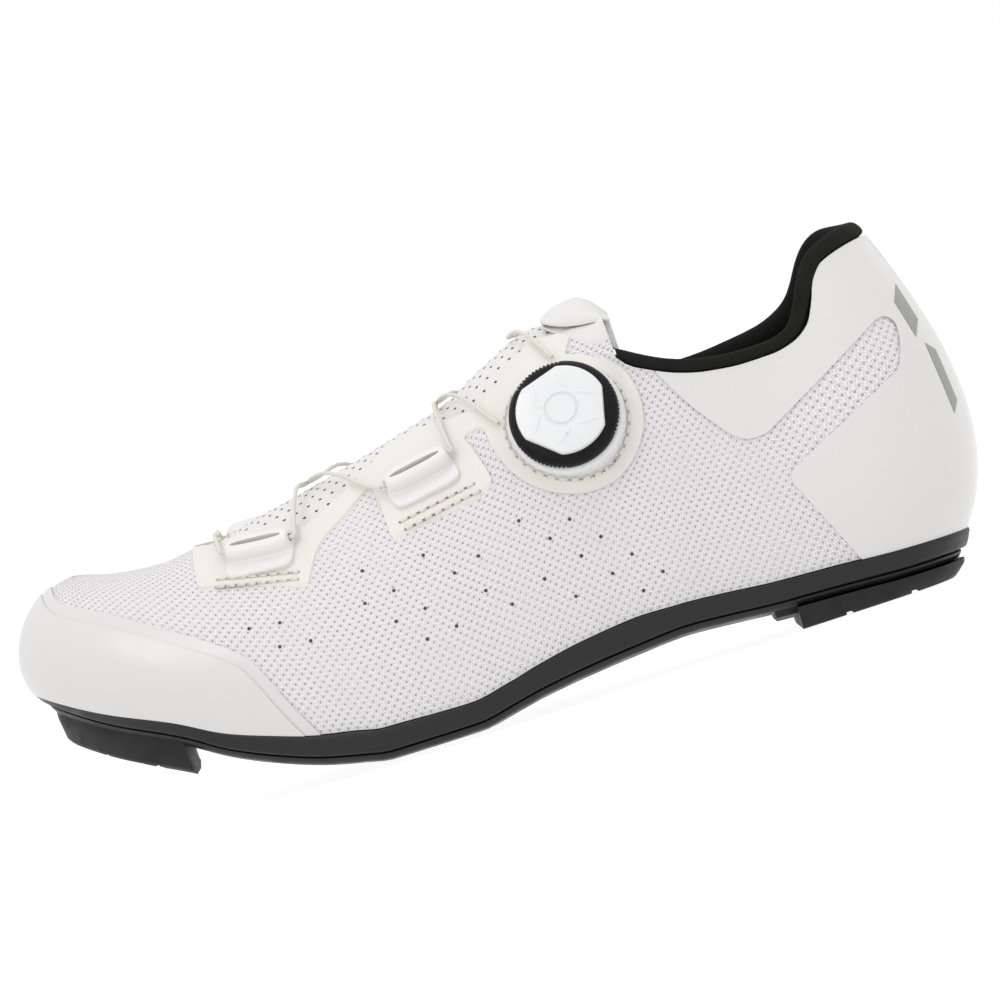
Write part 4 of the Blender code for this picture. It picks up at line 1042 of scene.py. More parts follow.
def surface_rings(name, seat, axis, along, rings):
    """A turned or moulded solid from rings of plane points, set on a seat."""
    return solid(name, turned(turned_rings(rings), seat, axis, along))


@lru_cache(maxsize=None)
def skin_tree():
    bm = skin_sheet()
    tree = BVHTree.FromBMesh(bm)
    bm.free()
    return tree


def side_seat(x, z, side):
    """Point and outward normal of the skin where a line along y meets it from one side."""
    place, normal, _, _ = skin_tree().ray_cast(Vector((x, side * 0.2, z)), Vector((0, -side, 0)))
    return place, normal if normal.y * side > 0 else -normal


def above_seat(x, y):
    """Point and outward normal of the skin right below a plan point."""
    place, normal, _, _ = skin_tree().ray_cast(Vector((x, y, 0.2)), Vector((0, 0, -1)))
    return place, normal if normal.z > 0 else -normal


def groove(name, x, z):
    """A groove across a tread, cut up from its flat side."""
    foot, top = GROOVE_WIDTH / 2 + GROOVE_FLARE, GROOVE_WIDTH / 2 - GROOVE_TAPER
    low, high = z - GROOVE_CLEAR, z + GROOVE_DEPTH
    points = [(x - foot, low), (x + foot, low), (x + top, high), (x - top, high)]
    return tool(name, prism(points, "y", -BALL_WIDTH, BALL_WIDTH))


def collar_path(count):
    """Points where the ribs cross the upper's top edge.

    They run from the throat's lateral corner round the heel to its medial corner.
    """
    halves = {}
    for side in (LATERAL, MEDIAL):
        points = []
        for share in np.linspace(0, COLLAR_SHARE, count):
            ts = np.linspace(0.3, 1, 281)
            points_up = rib_points(float(share), side, ts)
            above = np.array([p[2] - collar_height(p[0], p[1]) for p in points_up])
            i = int(np.argmax(above > 0))
            share_up = above[i - 1] / (above[i - 1] - above[i])
            points.append(Vector(points_up[i - 1] + share_up * (points_up[i] - points_up[i - 1])))
        halves[side] = points
    return halves[LATERAL][:0:-1] + halves[MEDIAL]


def guide_frame(row):
    """Seat of a guide on the skin, its outward axis and its length's direction."""
    y = BALL_WIDTH * (THROAT_MIDDLE + row.side * row.half)
    seat, axis = above_seat(float(x_of(row.station)), y)
    slope = math.radians(row.slope)
    across = -(math.cos(slope) * axis.x + math.sin(slope) * axis.z) / axis.y
    return seat, axis, Vector((math.cos(slope), across, math.sin(slope))).normalized()


def guide_mouth(row, end):
    """Point just outside a guide's tunnel, at its toe end (-1) or heel end (1)."""
    seat, axis, along = guide_frame(row)
    return seat + axis * GUIDE_TUNNEL_HEIGHT + along * end * (GUIDE_LENGTH / 2 + LACE_REST)


def lace_lift(y):
    """Height of the lace's middle line off the skin: over the film beside the throat it is higher."""
    away = abs(y - BALL_WIDTH * THROAT_MIDDLE)
    return LACE_LOW + (LACE_LIFT - LACE_LOW) * min(1.0, max(0.0, (away - LACE_NEAR) / LACE_RISE))


def above_plan(row):
    """Point of the lace's middle line over a plan point."""
    y = BALL_WIDTH * row.across
    seat, axis = above_seat(float(x_of(row.station)), y)
    return seat + axis * lace_lift(y)


def lace_line(start, over, finish):
    """Line of the lace from one point to another over a third, held off the skin on its way."""
    points = [start]
    for a, b in ((start, over), (over, finish)):
        for i in range(1, LACE_STEPS + 1):
            place = a.lerp(b, i / LACE_STEPS)
            if i < LACE_STEPS:
                seat, axis = above_seat(place.x, place.y)
                place = seat + axis * lace_lift(place.y)
            points.append(place)
    return points


class Look:
    """One procedural material, built node by node."""

    def __init__(self, name, colour, roughness):
        self.material = bpy.data.materials.new(name)
        self.material.use_nodes = True
        self.tree = self.material.node_tree
        self.shader = self.tree.nodes["Principled BSDF"]
        self.set("Base Color", (*colour, 1))
        self.set("Roughness", roughness)

    def set(self, socket, value):
        self.feed(self.shader.inputs[socket], value)

    def feed(self, socket, value):
        if isinstance(value, bpy.types.NodeSocket):
            self.tree.links.new(value, socket)
        else:
            socket.default_value = value

    def node(self, kind, values=(), **settings):
        node = self.tree.nodes.new("ShaderNode" + kind)
        for key, value in settings.items():
            setattr(node, key, value)
        for socket, value in zip(node.inputs, values):
            self.feed(socket, value)
        return node

    def math(self, operation, *values):
        return self.node("Math", values, operation=operation).outputs[0]

    def ramp(self, value, low, high, start=0.0, end=1.0):
        node = self.node("MapRange", (value, low, high, start, end), interpolation_type="SMOOTHSTEP")
        return node.outputs[0]

    def mix(self, factor, first, second):
        node = self.node("Mix", data_type="RGBA")
        for socket, value in ((node.inputs[0], factor), (node.inputs[6], first), (node.inputs[7], second)):
            self.feed(socket, value)
        return node.outputs[2]

    def weave(self):
        """Millimetres along the shoe and up its side."""
        split = self.node("SeparateXYZ", (self.node("UVMap", uv_map="weave").outputs[0],))
        return split.outputs[0], split.outputs[1]

    def noise(self, scale, detail=3.0):
        node = self.node("TexNoise")
        self.feed(node.inputs["Vector"], self.node("TexCoord").outputs["Object"])
        self.feed(node.inputs["Scale"], scale)
        self.feed(node.inputs["Detail"], detail)
        return node.outputs["Fac"]

    def bump(self, height, distance, strength=1.0):
        node = self.node("Bump")
        self.feed(node.inputs["Strength"], strength)
        self.feed(node.inputs["Distance"], distance)
        self.feed(node.inputs["Height"], height)
        self.set("Normal", node.outputs[0])

    def vary(self, scale, low, high):
        """Roughness that wanders between two values."""
        self.set("Roughness", self.ramp(self.noise(scale), 0.35, 0.65, low, high))


def pits(look, pitch, row, width, height):
    """Rows of oval pits, each row half a pitch on from the last: 1 in a pit and 0 between."""
    u, v = look.weave()
    v = look.math("DIVIDE", v, row)
    u = look.math("DIVIDE", u, pitch)
    half = look.math("MULTIPLY", look.math("MODULO", look.math("FLOOR", v), 2.0), 0.5)
    across = look.math("SUBTRACT", look.math("FRACT", look.math("ADD", u, half)), 0.5)
    up = look.math("SUBTRACT", look.math("FRACT", v), 0.5)
    across = look.math("POWER", look.math("ABSOLUTE", look.math("DIVIDE", across, width)), 2.0)
    up = look.math("POWER", look.math("ABSOLUTE", look.math("DIVIDE", up, height)), 2.0)
    return look.ramp(look.math("ADD", across, up), 0.55, 1.25, 1.0, 0.0)


def knit_look():
    look = Look("knit", KNIT, 0.8)
    dip = pits(look, KNIT_PITCH, KNIT_ROW, 0.40, 0.42)
    pit = pits(look, KNIT_PITCH, KNIT_ROW, 0.12, 0.22)
    fluff = look.noise(2600.0, 2.0)
    # Painted shade: the soft dimple round each pit is coloured darker as well as bumped
    shade = look.mix(look.math("MULTIPLY", dip, 0.35), (*KNIT, 1), (*KNIT_DIMPLE_SHADE_AND_GROUND, 1))
    # Painted shade: the core of each pit is coloured nearly black where the knit's openings lie in shade
    shade = look.mix(look.math("MULTIPLY", pit, 0.8), shade, (*KNIT_PIT_SHADE, 1))
    patches = look.ramp(look.noise(60.0), 0.3, 0.7, 0.0, 0.25)
    look.set("Base Color", look.mix(patches, shade, (*KNIT_TINT, 1)))
    look.set("Sheen Weight", 0.15)
    look.bump(look.math("SUBTRACT", look.math("MULTIPLY", fluff, 0.7), dip), 0.00038, 0.9)
    return look.material


def plain_look(row):
    """A surface whose roughness wanders, with a fine grain."""
    look = Look(row.name, row.colour, row.low)
    look.vary(row.blotch, row.low, row.high)
    look.set("Specular IOR Level", row.shine)
    if row.coat:
        look.set("Coat Weight", row.coat)
        look.set("Coat Roughness", GLOSS_COAT_ROUGHNESS)
    look.bump(look.noise(row.grain, row.detail), row.depth, row.strength)
    return look.material


def counter_look():
    """Gloss film over a fine woven ground that just shows through."""
    look = Look("counter_film", COUNTER, 0.26)
    ground = pits(look, 1.7, 1.0, 0.40, 0.40)
    # The woven ground's faint dotted pattern, in the knit's dimple colour
    look.set("Base Color", look.mix(look.math("MULTIPLY", ground, 0.05), (*COUNTER, 1), (*KNIT_DIMPLE_SHADE_AND_GROUND, 1)))
    look.vary(80.0, 0.22, 0.32)
    look.set("Coat Weight", 0.3)
    look.set("Coat Roughness", 0.15)
    look.bump(ground, 0.00004, 0.25)
    return look.material


def textile_look(name, colour):
    look = Look(name, colour, 0.92)
    fluff = look.noise(2200.0, 4.0)
    worn = look.ramp(look.noise(120.0), 0.3, 0.7, 0.0, 0.5)
    look.set("Base Color", look.mix(worn, (*colour, 1), tuple(1.6 * c for c in colour) + (1,)))
    look.set("Specular IOR Level", 0.15)
    look.bump(fluff, 0.00025, 0.8)
    return look.material


def lace_look():
    """Braid: fine slanted plaits along the cord."""
    look = Look("braid", LACE, 0.65)
    node = look.node("TexWave", bands_direction="DIAGONAL")
    look.feed(node.inputs["Vector"], look.node("TexCoord").outputs["Object"])
    look.feed(node.inputs["Scale"], 900.0)
    look.bump(node.outputs["Fac"], 0.00010, 0.7)
    plaits = look.math("MULTIPLY", node.outputs["Fac"], 0.3)
    look.set("Base Color", look.mix(plaits, (*LACE, 1), (*LACE_SHADE, 1)))
    return look.material


def reflective_look():
    """Silver-grey print with fine glass beads."""
    look = Look("reflective", REFLECTIVE, 0.42)
    beads = look.noise(5000.0, 1.0)
    look.set("Base Color", look.mix(look.ramp(beads, 0.3, 0.7), (*REFLECTIVE, 1), (*REFLECTIVE_DARK, 1)))
    look.set("Metallic", 0.35)
    look.bump(beads, 0.00005, 0.5)
    return look.material


def area_prism(name, points, axis="y", low=-BALL_WIDTH, high=BALL_WIDTH):
    return tool(name, prism(points, axis, low, high))


def toe_pieces(looks):
    """Film over the toe, and the raised panel in its middle."""
    front = x_of(-0.05)
    around = [(front, FLOOR_CLEAR), (front, ALOFT)]
    edge = softened(side_points(TOE_CAP), CAP_ROUND)
    cap = area_prism("toe_cap_area", edge + around)
    body = shell(FILM, -HIDDEN, **AREAS["toe"])
    layer("toe_cap_film", body, looks["gloss"], "gloss_film", "toe_cap", keep=[cap])
    edge = np.array(edge)
    along = np.gradient(edge, axis=0)
    along /= np.linalg.norm(along, axis=1)[:, None]
    inner = edge + TOE_INSET * np.stack([along[:, 1], -along[:, 0]], axis=1)
    panel = area_prism("toe_panel_area", [tuple(p) for p in inner] + around)
    body = shell(FILM + PANEL_RISE, 0, **AREAS["toe"])
    layer("toe_cap_panel", body, looks["gloss"], "gloss_film", keep=[panel])


def heel_pieces(looks, opening):
    """Film round the heel, and the reflective prints on it."""
    back = x_of(1.1)
    edge = softened(side_points(HEEL_FILM), HEEL_FILM_ROUND)
    counter = area_prism("counter_area", edge + [(back, FLOOR_CLEAR), (back, ALOFT), (edge[0][0], ALOFT)])
    body = shell(FILM, -HIDDEN, **AREAS["heel"])
    layer("counter_film", body, looks["counter"], "gloss_film", "heel_film", keep=[counter], away=[opening])
    for i, row in enumerate(REFLECTORS):
        lean = math.radians(row.lean)
        corners = []
        for a, b in ((-1, 1), (1, 1), (1, -1), (-1, -1)):
            across = a * row.width / 2
            up = b * (row.length + a * row.taper) / 2 + a * row.shift
            corners.append((row.x + across * math.cos(lean) - up * math.sin(lean),
                            row.z + up * math.cos(lean) + across * math.sin(lean)))
        for name, side in ((f"reflector_{i}", LATERAL), (f"reflector_in_{i}", MEDIAL)):
            area = area_prism(name + "_area", corners)
            body = shell(FILM + PRINT, FILM - HIDDEN, sides=(side,), **AREAS["print"])
            layer(name, body, looks["reflective"], "gloss_film", keep=[area])


def upper_layers(looks):
    """Knit shell, films, tongue and lining."""
    opening = tool("collar_opening", above_collar(0))
    throat = area_prism("throat_opening", throat_plan(), "z", THROAT_LOW, ALOFT)
    layer("knit_upper", shell(0, -WALL), looks["knit"], "white_knit", "upper", away=[opening, throat])
    toe_pieces(looks)
    heel_pieces(looks, opening)

    for name, side in (("eyestay_lateral", LATERAL), ("eyestay_medial", MEDIAL)):
        plan = softened(half_plan(EYESTAY, side), EYESTAY_ROUND)
        area = area_prism(name + "_area", plan, "z", THROAT_LOW, ALOFT)
        body = shell(FILM, -HIDDEN, sides=(side,), **AREAS["eyestay"])
        layer(name + "_film", body, looks["cream"], "cream_film", name, keep=[area], away=[opening, throat])

    wider = throat_plan(TONGUE_OVERLAP, TONGUE_AHEAD, TONGUE[-1].station)
    inside = area_prism("tongue_plan", wider, "z", TONGUE_LOW, ALOFT)
    lower = side_points(TONGUE)
    over = area_prism("tongue_side", lower + [(lower[-1][0], ALOFT), (lower[0][0], ALOFT)])
    body = shell(-WALL, -WALL - TONGUE_THICKNESS, **AREAS["tongue"])
    layer("tongue_body", body, looks["microfibre"], "white_microfibre", "tongue", keep=[inside, over])

    lined = tool("lined_below", above_collar(-LINING_DROP))
    body = shell(-WALL - HIDDEN, -WALL - LINING, **AREAS["lining"])
    layer("heel_lining", body, looks["textile"], "black_textile", away=[lined])
    return opening


def perforations(looks):
    """Dark discs of painted shade where holes pass through the knit's side band and through the tongue."""
    bm = bmesh.new()
    for row in KNIT_HOLES:
        for i in range(row.count):
            for side in (LATERAL, MEDIAL):
                seat, axis = side_seat(row.x + i * HOLE_STEP[0], row.z + i * HOLE_STEP[1], side)
                disc(bm, seat + axis * PROUD, axis, KNIT_HOLE / 2)
    piece(solid("knit_holes", bm), looks["dark"], "white_knit")

    bm = bmesh.new()
    half = {LATERAL: reader(THROAT, "station", "outer"), MEDIAL: reader(THROAT, "station", "inner")}
    front, back = x_of(TONGUE_HOLES_FRONT), x_of(TONGUE_HOLES_BACK)
    for row in range(-TONGUE_ROWS, TONGUE_ROWS + 1):
        away = (row + 0.5) * TONGUE_ROW
        side = LATERAL if row < 0 else MEDIAL
        for x in np.arange(front + 0.5 * (row % 2) * TONGUE_PITCH, back, TONGUE_PITCH):
            if abs(away) < BALL_WIDTH * float(half[side](station_of(x))) - TONGUE_MARGIN:
                seat, axis = above_seat(float(x), BALL_WIDTH * THROAT_MIDDLE + away)
                disc(bm, seat + axis * (PROUD - WALL), axis, TONGUE_HOLE / 2)
    piece(solid("tongue_holes", bm), looks["dark"], "white_microfibre")


def disc(bm, centre, axis, radius, count=10):
    """A thin round plate of painted shade that marks a hole."""
    first = axis.orthogonal().normalized()
    second = axis.cross(first)
    rings = []
    for lift in (-2 * PROUD, 0.0):
        ring = [centre + axis * lift + radius * (first * a + second * b) for a, b in circle(1, count)]
        rings.append([bm.verts.new(p) for p in ring])
    loft(bm, rings)


def add_tube(bm, points, radius, count):
    part = tube(points, radius, count)
    mesh = bpy.data.meshes.new("part")
    part.to_mesh(mesh)
    part.free()
    bm.from_mesh(mesh)
    bpy.data.meshes.remove(mesh)


def stitch(threads, holes, start, end, axis):
    """One thread that comes up out of a hole, lies on the surface and goes down into another."""
    reach = end - start
    points = [
        start + axis * STITCH_END,
        start + axis * STITCH_SHOULDER + reach * SHOULDER_SHARE,
        (start + end) / 2 + axis * STITCH_CREST,
        end + axis * STITCH_SHOULDER - reach * SHOULDER_SHARE,
        end + axis * STITCH_END,
    ]
    add_tube(threads, points, STITCH_THICKNESS / 2, 6)
    for spot in (start, end):
        disc(holes, spot + axis * PROUD, axis, STITCH_HOLE / 2, 8)


def stitching(looks):
    """Two rows of stitches below each outer guide, and a ring of them round the dial."""
    threads, holes = bmesh.new(), bmesh.new()
    by_name = {row.name: row for row in GUIDES}
    for row in STITCH_ROWS:
        middle, _, _ = guide_frame(by_name[row.guide])
        slope = math.radians(row.slope)
        for i in range(STITCHES):
            ends = []
            for step in (i + STITCH_FREE, i + 1 - STITCH_FREE):
                reach = row.shift + (step / STITCHES - 0.5) * STITCH_RUN
                x = middle.x + reach * math.cos(slope) + row.drop * math.sin(slope)
                z = middle.z + reach * math.sin(slope) - row.drop * math.cos(slope)
                seat, axis = side_seat(x, z, LATERAL)
                ends.append(seat + axis * FILM)
            stitch(threads, holes, *ends, axis)

    seat, axis, along = dial_seat()
    up = axis.cross(along)
    for i in range(DIAL_STITCHES):
        ends = []
        for step in (i + DIAL_STITCH_FREE, i + 1 - DIAL_STITCH_FREE):
            angle = 2 * math.pi * step / DIAL_STITCHES
            spot = seat + DIAL_STITCH_RADIUS * (along * math.cos(angle) + up * math.sin(angle))
            place, normal, _, _ = skin_tree().ray_cast(spot + axis * 0.02, -axis)
            if place is not None:
                normal = normal if normal.dot(axis) > 0 else -normal
                ends.append(place + normal * PATCH_TOP)
        if len(ends) == 2:
            stitch(threads, holes, *ends, normal)
    piece(solid("stitches", threads), looks["lace"], "off_white_lace")
    piece(solid("stitch_holes", holes), looks["stitch_dark"], "cream_film")


@lru_cache(maxsize=None)
def dial_seat():
    """Seat of the dial on the skin, its axis and its own x direction."""
    seat, _ = side_seat(x_of(DIAL_STATION), DIAL_LEVEL * INSTEP_HEIGHT, LATERAL)
    lift, turn = math.radians(DIAL_TILT), math.radians(DIAL_TURN)
    axis = Vector((-math.sin(turn) * math.cos(lift), -math.cos(turn) * math.cos(lift), math.sin(lift)))
    along = Vector((1, 0, 0))
    along = (along - axis * along.dot(axis)).normalized()
    return seat, axis, along


def nearness(angle):
    """Cosine of the angle to the nearest of the cap's recesses."""
    return max(math.cos(angle - math.radians(a)) for a in DIAL_RECESSES)


def knurl(depth):
    """Knurls on the stretches of the ring beside the recesses."""
    def wave(angle):
        zone = min(1.0, max(0.0, (nearness(angle) - KNURL_EDGE) / KNURL_FADE))
        return -depth * zone * (0.5 - 0.5 * math.cos(KNURLS * angle))
    return wave


def lobes(angle):
    return CAP_RADIUS * min(0.0, CAP_FLAT / max(nearness(angle), 0.1) - 1)


def dial(looks, opening):
    """Film patch, housing, ring with its knurled zones, and three-lobed cap with its curved lines."""
    pose = dial_seat()
    seat, axis, along = pose
    rings = [(circle(DIAL_PATCH_RADIUS, 96), z) for z in (-PATCH_REACH, PATCH_REACH)]
    area = tool("dial_disc", turned(turned_rings(rings), *pose))
    body = shell(PATCH_TOP, -HIDDEN, sides=(LATERAL,), **AREAS["dial"])
    layer("dial_film", body, looks["cream"], "cream_film", "dial_patch", keep=[area], away=[opening])

    top = HOUSING_HEIGHT
    rings = [(circle(HOUSING_RADIUS - row.inset, 96), top - row.drop) for row in HOUSING_PROFILE]
    piece(surface_rings("housing", *pose, rings), looks["moulded"], "white_moulded", "dial_housing")

    top += GAP + DIAL_HEIGHT
    rings = []
    for row in RING_PROFILE:
        knurls = knurl(KNURL_DEPTH * row.knurled)
        rings.append((circle(DIAL_RADIUS - row.inset, 640, knurls), top - row.drop))
    ring = surface_rings("ring", *pose, rings)
    piece(ring, looks["black_moulded"], "black_moulded", "dial_ring", sharp=30)

    top += GAP + CAP_HEIGHT
    rings = [(circle(CAP_RADIUS - row.inset, 192, lobes), top - row.drop) for row in CAP_PROFILE]
    rings += [(circle(row.reach, 192), top + row.lift) for row in HUB_PROFILE]
    cap = surface_rings("cap", *pose, rings)
    piece(cap, looks["moulded"], "white_moulded", "dial_cap", sharp=30)

    bm = bmesh.new()
    up = axis.cross(along)
    for recess in DIAL_RECESSES:
        for turn in (-1, 1):
            points = []
            for share in np.linspace(0, 1, LINE_POINTS).tolist():
                angle = math.radians(recess + turn * (LINE_RIM + LINE_HUB * (1 - share) ** LINE_BEND))
                reach = HUB_RADIUS + LINE_START + (CAP_RADIUS - HUB_RADIUS - LINE_SHORT) * share
                lift = top - LINE_SUNK - LINE_END_SUNK * abs(2 * share - 1) ** 4
                points.append(seat + axis * lift + reach * (along * math.cos(angle) + up * math.sin(angle)))
            add_tube(bm, points, LINE_RADIUS, 24)
    piece(solid("cap_lines", bm), looks["moulded"], "white_moulded")


def guides(looks):
    """Moulded lace guides on a low flange, each with a slot that shows the lace."""
    length = GUIDE_LENGTH * BLOCK_STRETCH
    for row in GUIDES:
        pose = guide_frame(row)
        seat, axis, along = pose
        shift = row.side * FLANGE * FLANGE_SHIFT
        rings = []
        for turn in FLANGE_PROFILE:
            ring = rounded(length - turn.shorter, GUIDE_WIDTH + turn.wider, 48, 0.35)
            rings.append(([(x, y + shift) for x, y in ring], turn.height))
        foot = surface_rings(row.name + "_foot", *pose, rings)
        piece(foot, looks["guide"], "white_moulded", sharp=32)

        rings = []
        for turn in BLOCK_PROFILE:
            rings.append((rounded(length - turn.shorter, GUIDE_WIDTH + turn.wider, 48, 0.5), turn.height))
        block = surface_rings(row.name + "_block", *pose, rings)
        core = seat + axis * GUIDE_TUNNEL_HEIGHT
        line = [core - along * length, core + along * length]
        tunnel = tool(row.name + "_tunnel", tube(line, GUIDE_TUNNEL / 2, 20))
        slot = [
            (rounded(SLOT_LENGTH, GUIDE_SLOT_WIDTH * SLOT_NARROW, 28, 0.8), GUIDE_TUNNEL_HEIGHT),
            (rounded(SLOT_LENGTH, GUIDE_SLOT_WIDTH * SLOT_WIDE, 28, 0.8), GUIDE_HEIGHT + 0.001),
        ]
        slot = tool(row.name + "_slot", turned(turned_rings(slot), *pose))
        piece(carve(block, away=[tunnel, slot]), looks["guide"], "white_moulded", row.name, sharp=32)


def laces(looks):
    """The lace's runs between the guides, each carried on into the guides that hold it."""
    mouths = {(row.name, end): guide_mouth(row, end) for row in GUIDES for end in (-1, 1)}
    front, rear = above_plan(LACE_CROSSING_FRONT), above_plan(LACE_CROSSING_REAR)
    outer, middle = "guide_lateral_front", "guide_lateral_middle"
    inner, inner_middle, inner_rear = "guide_medial_front", "guide_medial_middle", "guide_medial_rear"
    runs = {
        "lace_front": [
            (mouths[outer, -1], above_plan(LACE_FRONT), mouths[inner, -1]),
        ],
        "lace_crossing_front": [
            (mouths[middle, -1], front, mouths[inner, 1]),
            (mouths[outer, 1], front, mouths[inner_middle, -1]),
        ],
        "lace_crossing_rear": [
            (mouths[middle, 1], rear, mouths[inner_rear, -1]),
            (above_plan(DIAL_EXIT_LOWER), rear, mouths[inner_middle, 1]),
        ],
        "lace_rear": [
            (above_plan(DIAL_EXIT_UPPER), above_plan(LACE_REAR), mouths[inner_rear, 1]),
        ],
    }
    for name, bars in runs.items():
        bm = bmesh.new()
        for bar in bars:
            add_tube(bm, relaxed(lace_line(*bar), 3), LACE_THICKNESS / 2, 12)
        piece(solid(name + "_cord", bm), looks["lace"], "off_white_lace", name)
    bm = bmesh.new()
    for row in GUIDES:
        start, end = mouths[row.name, -1], mouths[row.name, 1]
        add_tube(bm, [start.lerp(end, share / 8) for share in range(9)], LACE_THICKNESS / 2, 12)
    piece(solid("lace_in_guides", bm), looks["lace"], "off_white_lace")


def relaxed(points, times):
    """A line pulled smooth, its two ends held."""
    for _ in range(times):
        inner = [(a + b * 2 + c) / 4 for a, b, c in zip(points, points[1:], points[2:])]
        points = [points[0]] + inner + [points[-1]]
    return points


def collar(looks):
    """Padded roll along the collar's edge."""
    section = softened([(row.out, row.up) for row in BINDING], ROLL_ROUND, closed=True, steps=3)
    path = relaxed(collar_path(ROLL_SECTIONS), 4)
    last = len(path) - 1
    bm = bmesh.new()
    loops = []
    for i, point in enumerate(path):
        ahead = min(max(i + 1, ROLL_LEAD), last)
        behind = max(min(i - 1, last - ROLL_LEAD), 0)
        along = (path[ahead] - path[behind]).normalized()
        level_way = Vector((1 if i < len(path) / 2 else -1, 0, 0))
        share = min(1.0, min(i, last - i) / ROLL_LEAD)
        along = level_way.lerp(along, share).normalized()
        _, normal, _, _ = skin_tree().find_nearest(point)
        centre = Vector((x_of(0.85), 0, point.z))
        normal = normal if normal.dot(point - centre) > 0 else -normal
        normal = (normal - along * normal.dot(along)).normalized()
        up = along.cross(normal)
        up = up if up.z > 0 else -up
        swell = 1 + ROLL_SWELL * min(1.0, max(0.0, (station_of(point.x) - SWELL_START) / SWELL_OVER))
        loops.append([bm.verts.new(point + normal * out + up * rise * swell) for out, rise in section])
    loft(bm, loops)
    roll = piece(solid("collar_roll", bm), looks["textile"], "black_textile", "collar_binding", sharp=60)


def pull_tab(looks):
    """Strip folded over at the tongue's top end: two domed leaves with lower edges."""
    crest, edge, leaf = (reader(TAB_FOLD, "x", column) for column in ("crest", "edge", "leaf"))
    tab_leaf("tab_strip", crest, edge, looks, "pull_tab")
    tab_leaf("tab_under_leaf", lambda x: crest(x) - LEAF_GAP, leaf, looks)


def tab_leaf(name, crest, edge, looks, *nodes):
    """One domed leaf of the tab between its crest line and its two edges, thinner towards these."""
    middle = BALL_WIDTH * THROAT_MIDDLE
    bm = bmesh.new()
    rings = []
    for x in np.linspace(TAB_FOLD[0].x, TAB_FOLD[-1].x, TAB_COLUMNS):
        ring = []
        for face in (1, -1):
            for share in np.linspace(-face, face, TAB_STRIPS):
                z = float(edge(x)) + float(crest(x) - edge(x)) * (1 - abs(share) ** TAB_DOME)
                thin = 1 - 0.6 * abs(share) ** 8
                z += (face * thin - 1) * TAB_THICKNESS / 2
                ring.append(bm.verts.new((x, middle + share * TAB_SPAN / 2, z)))
        rings.append(ring)
    band(bm, rings)
    end_strips(bm, rings)
    piece(solid(name, bm), looks["microfibre"], "white_microfibre", *nodes, sharp=50)


def sole(looks):
    """Moulded plate with its ridge and groove, rubber treads and insole.

    The rows of a plate are rings: reach, offset, share of the tuck, and height.
    """
    rows = [(row.reach, row.offset, 1, under(row.lift * STRIP)) for row in STRIP_SECTION]
    rows += [(1, row.offset, row.tuck, flank(row.rise)) for row in FLANK_SECTION]
    rows.append((0.6, 0, 0, flank(1)))
    middle = BALL_WIDTH * float(MIDDLE(BOLT_MIDDLE))
    rear = x_of(BOLT_STATION)
    spots = [(rear - BOLT_LENGTH, middle)] + [(rear, middle + side * BOLT_SPREAD / 2) for side in (-1, 1)]
    holes = []
    for i, (x, y) in enumerate(spots):
        ring = [(x + a, y + b) for a, b in circle(BOLT_HOLE / 2, 40)]
        top = float(underside(station_of(x))) + BOLT_DEPTH
        holes.append(area_prism(f"bolt_hole_{i}", ring, "z", FLOOR_CLEAR, top))
    body = plate(rows, columns=SOLE_COLUMNS)
    layer("plate_body", body, looks["plate"], "black_plate", "outsole", away=holes, sharp=45)

    rows = [
        (FLAT, 0, 1, level(0)),
        (1, -0.0030, 1.3, level(0)),
        (1, -0.0024, 1.3, level(0.0003)),
        (1, -0.0018, 1.2, level(0.0010)),
        (1, 0.0000, 1, under(-2 * TREAD_GAP)),
        (1, 0.0004, 1, under(-0.5 * TREAD_GAP)),
        (FLAT, 0, 1, under(TREAD_SUNK)),
    ]
    cuts = []
    for i, x in enumerate((-GROOVE_REACH, GROOVE_REACH)):
        cuts.append(groove(f"heel_groove_{i}", x, -HEEL_GROOVE_DROP))
    body = plate(rows, front=HEEL_TREAD_FRONT, columns=60)
    layer("heel_block", body, looks["rubber"], "black_rubber", "heel_tread", away=cuts)

    rows = [
        (FLAT, 0, 1, under(-LIP_THICKNESS)),
        (1, -0.0040, 1, under(-LIP_THICKNESS)),
        (1, -0.0030, 1, under(TREAD_SUNK)),
        (FLAT, 0, 1, under(TREAD_SUNK)),
    ]
    lip = plate(rows, front=LIP_FRONT, back=HEEL_TREAD_FRONT + 0.002, columns=8)
    piece(solid("heel_lip", lip), looks["rubber"], "black_rubber", "heel_tread_lip")

    rows = [
        (FLAT, 0, 1, under(-TREAD_THICKNESS)),
        (1, -0.0028, 1.1, under(-TREAD_THICKNESS)),
        (1, -0.0022, 1.1, under(0.0003 - TREAD_THICKNESS)),
        (1, -0.0014, 1.1, under(0.0010 - TREAD_THICKNESS)),
        (1, -0.0009, 1, under(-2 * TREAD_GAP)),
        (1, -0.0010, 1, under(0.15 * STRIP)),
        (FLAT, 0, 1, under(0.15 * STRIP)),
    ]
    cuts = []
    for i, station in enumerate(TOE_GROOVES):
        floor = float(underside(station)) - TREAD_THICKNESS
        cuts.append(groove(f"toe_groove_{i}", float(x_of(station)), floor))
    body = plate(rows, back=TOE_TREAD_BACK, columns=60)
    layer("toe_block", body, looks["rubber"], "black_rubber", "toe_tread", away=cuts)

    def bed(lift):
        return lambda station, reach: float(feather(station)) + lift

    top = TREAD_GAP + INSOLE_THICKNESS
    inset = -(WALL + INSOLE_GAP)
    rows = [
        (FLAT, 0, 0, bed(-0.0001)),
        (1, inset, 0, bed(-0.0001)),
        (1, inset, 0, bed(top - INSOLE_ROUND)),
        (1, inset - INSOLE_ROUND, 0, bed(top)),
        (FLAT, 0, 0, bed(top)),
    ]
    piece(solid("insole_bed", plate(rows, columns=80)), looks["textile"], "black_textile", "insole")


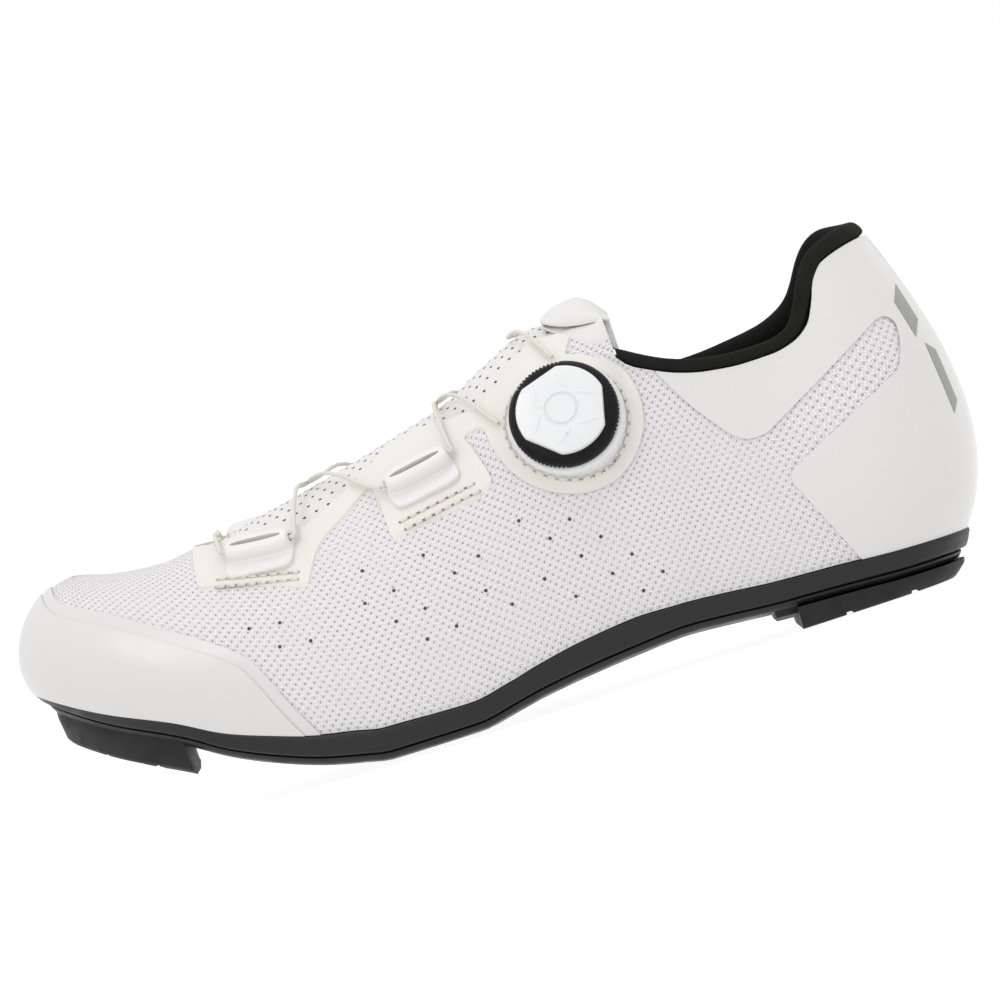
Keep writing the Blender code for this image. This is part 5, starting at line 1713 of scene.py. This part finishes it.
def studio():
    """Camera, soft light and a white floor that runs into a white surround."""
    scene = bpy.context.scene
    scene.view_settings.view_transform = "Standard"
    look = Vector((0, math.cos(CAMERA_ELEVATION), -math.sin(CAMERA_ELEVATION)))
    level_right = look.cross(Vector((0, 0, 1))).normalized()
    level_up = level_right.cross(look)
    right = level_right * math.cos(CAMERA_ROLL) - level_up * math.sin(CAMERA_ROLL)
    up = level_right * math.sin(CAMERA_ROLL) + level_up * math.cos(CAMERA_ROLL)
    camera = bpy.data.objects.new("camera", bpy.data.cameras.new("camera"))
    scene.collection.objects.link(camera)
    place = Matrix((right, up, -look)).transposed().to_4x4()
    place.translation = CAMERA_TARGET - look * CAMERA_DISTANCE
    camera.matrix_world = place
    camera.data.sensor_width = SENSOR
    camera.data.lens = SENSOR * CAMERA_DISTANCE / CAMERA_WIDTH
    camera.data.clip_end = 60
    scene.camera = camera

    world = bpy.data.worlds.new("surround")
    world.use_nodes = True
    scene.world = world
    ground = world.node_tree.nodes["Background"]
    ground.inputs["Color"].default_value = (1, 1, 1, 1)
    ground.inputs["Strength"].default_value = SURROUND
    for name, place, size, power in LAMPS:
        light = bpy.data.lights.new(name, "AREA")
        light.shape = "DISK"
        light.size = size
        light.energy = power
        lamp = bpy.data.objects.new(name, light)
        lamp.location = place
        lamp.rotation_mode = "QUATERNION"
        lamp.rotation_quaternion = (CAMERA_TARGET - Vector(place)).to_track_quat("-Z", "Y")
        scene.collection.objects.link(lamp)

    look = Look("floor", FLOOR, 0.9)
    look.vary(3.0, 0.85, 0.95)
    look.set("Emission Color", (1, 1, 1, 1))
    look.set("Emission Strength", FLOOR_GLOW)
    bm = bmesh.new()
    bmesh.ops.create_grid(bm, x_segments=8, y_segments=8, size=25)
    mesh = bpy.data.meshes.new("floor")
    bm.to_mesh(mesh)
    bm.free()
    mesh.materials.append(look.material)
    floor = bpy.data.objects.new("floor", mesh)
    floor.location.z = -0.0004
    scene.collection.objects.link(floor)


def main():
    studio()
    looks = {row.key: plain_look(row) for row in SURFACES}
    looks.update({
        "knit": knit_look(),
        "counter": counter_look(),
        "textile": textile_look("black_textile", BLACK_TEXTILE),
        "lace": lace_look(),
        "reflective": reflective_look(),
        "dark": textile_look("hole_shade", HOLE_SHADE),
        "stitch_dark": textile_look("stitch_hole_shade", STITCH_SHADE),
    })
    opening = upper_layers(looks)
    perforations(looks)
    dial(looks, opening)
    stitching(looks)
    guides(looks)
    laces(looks)
    collar(looks)
    pull_tab(looks)
    sole(looks)
    for obj in TOOLS:
        bpy.data.objects.remove(obj, do_unlink=True)


main()
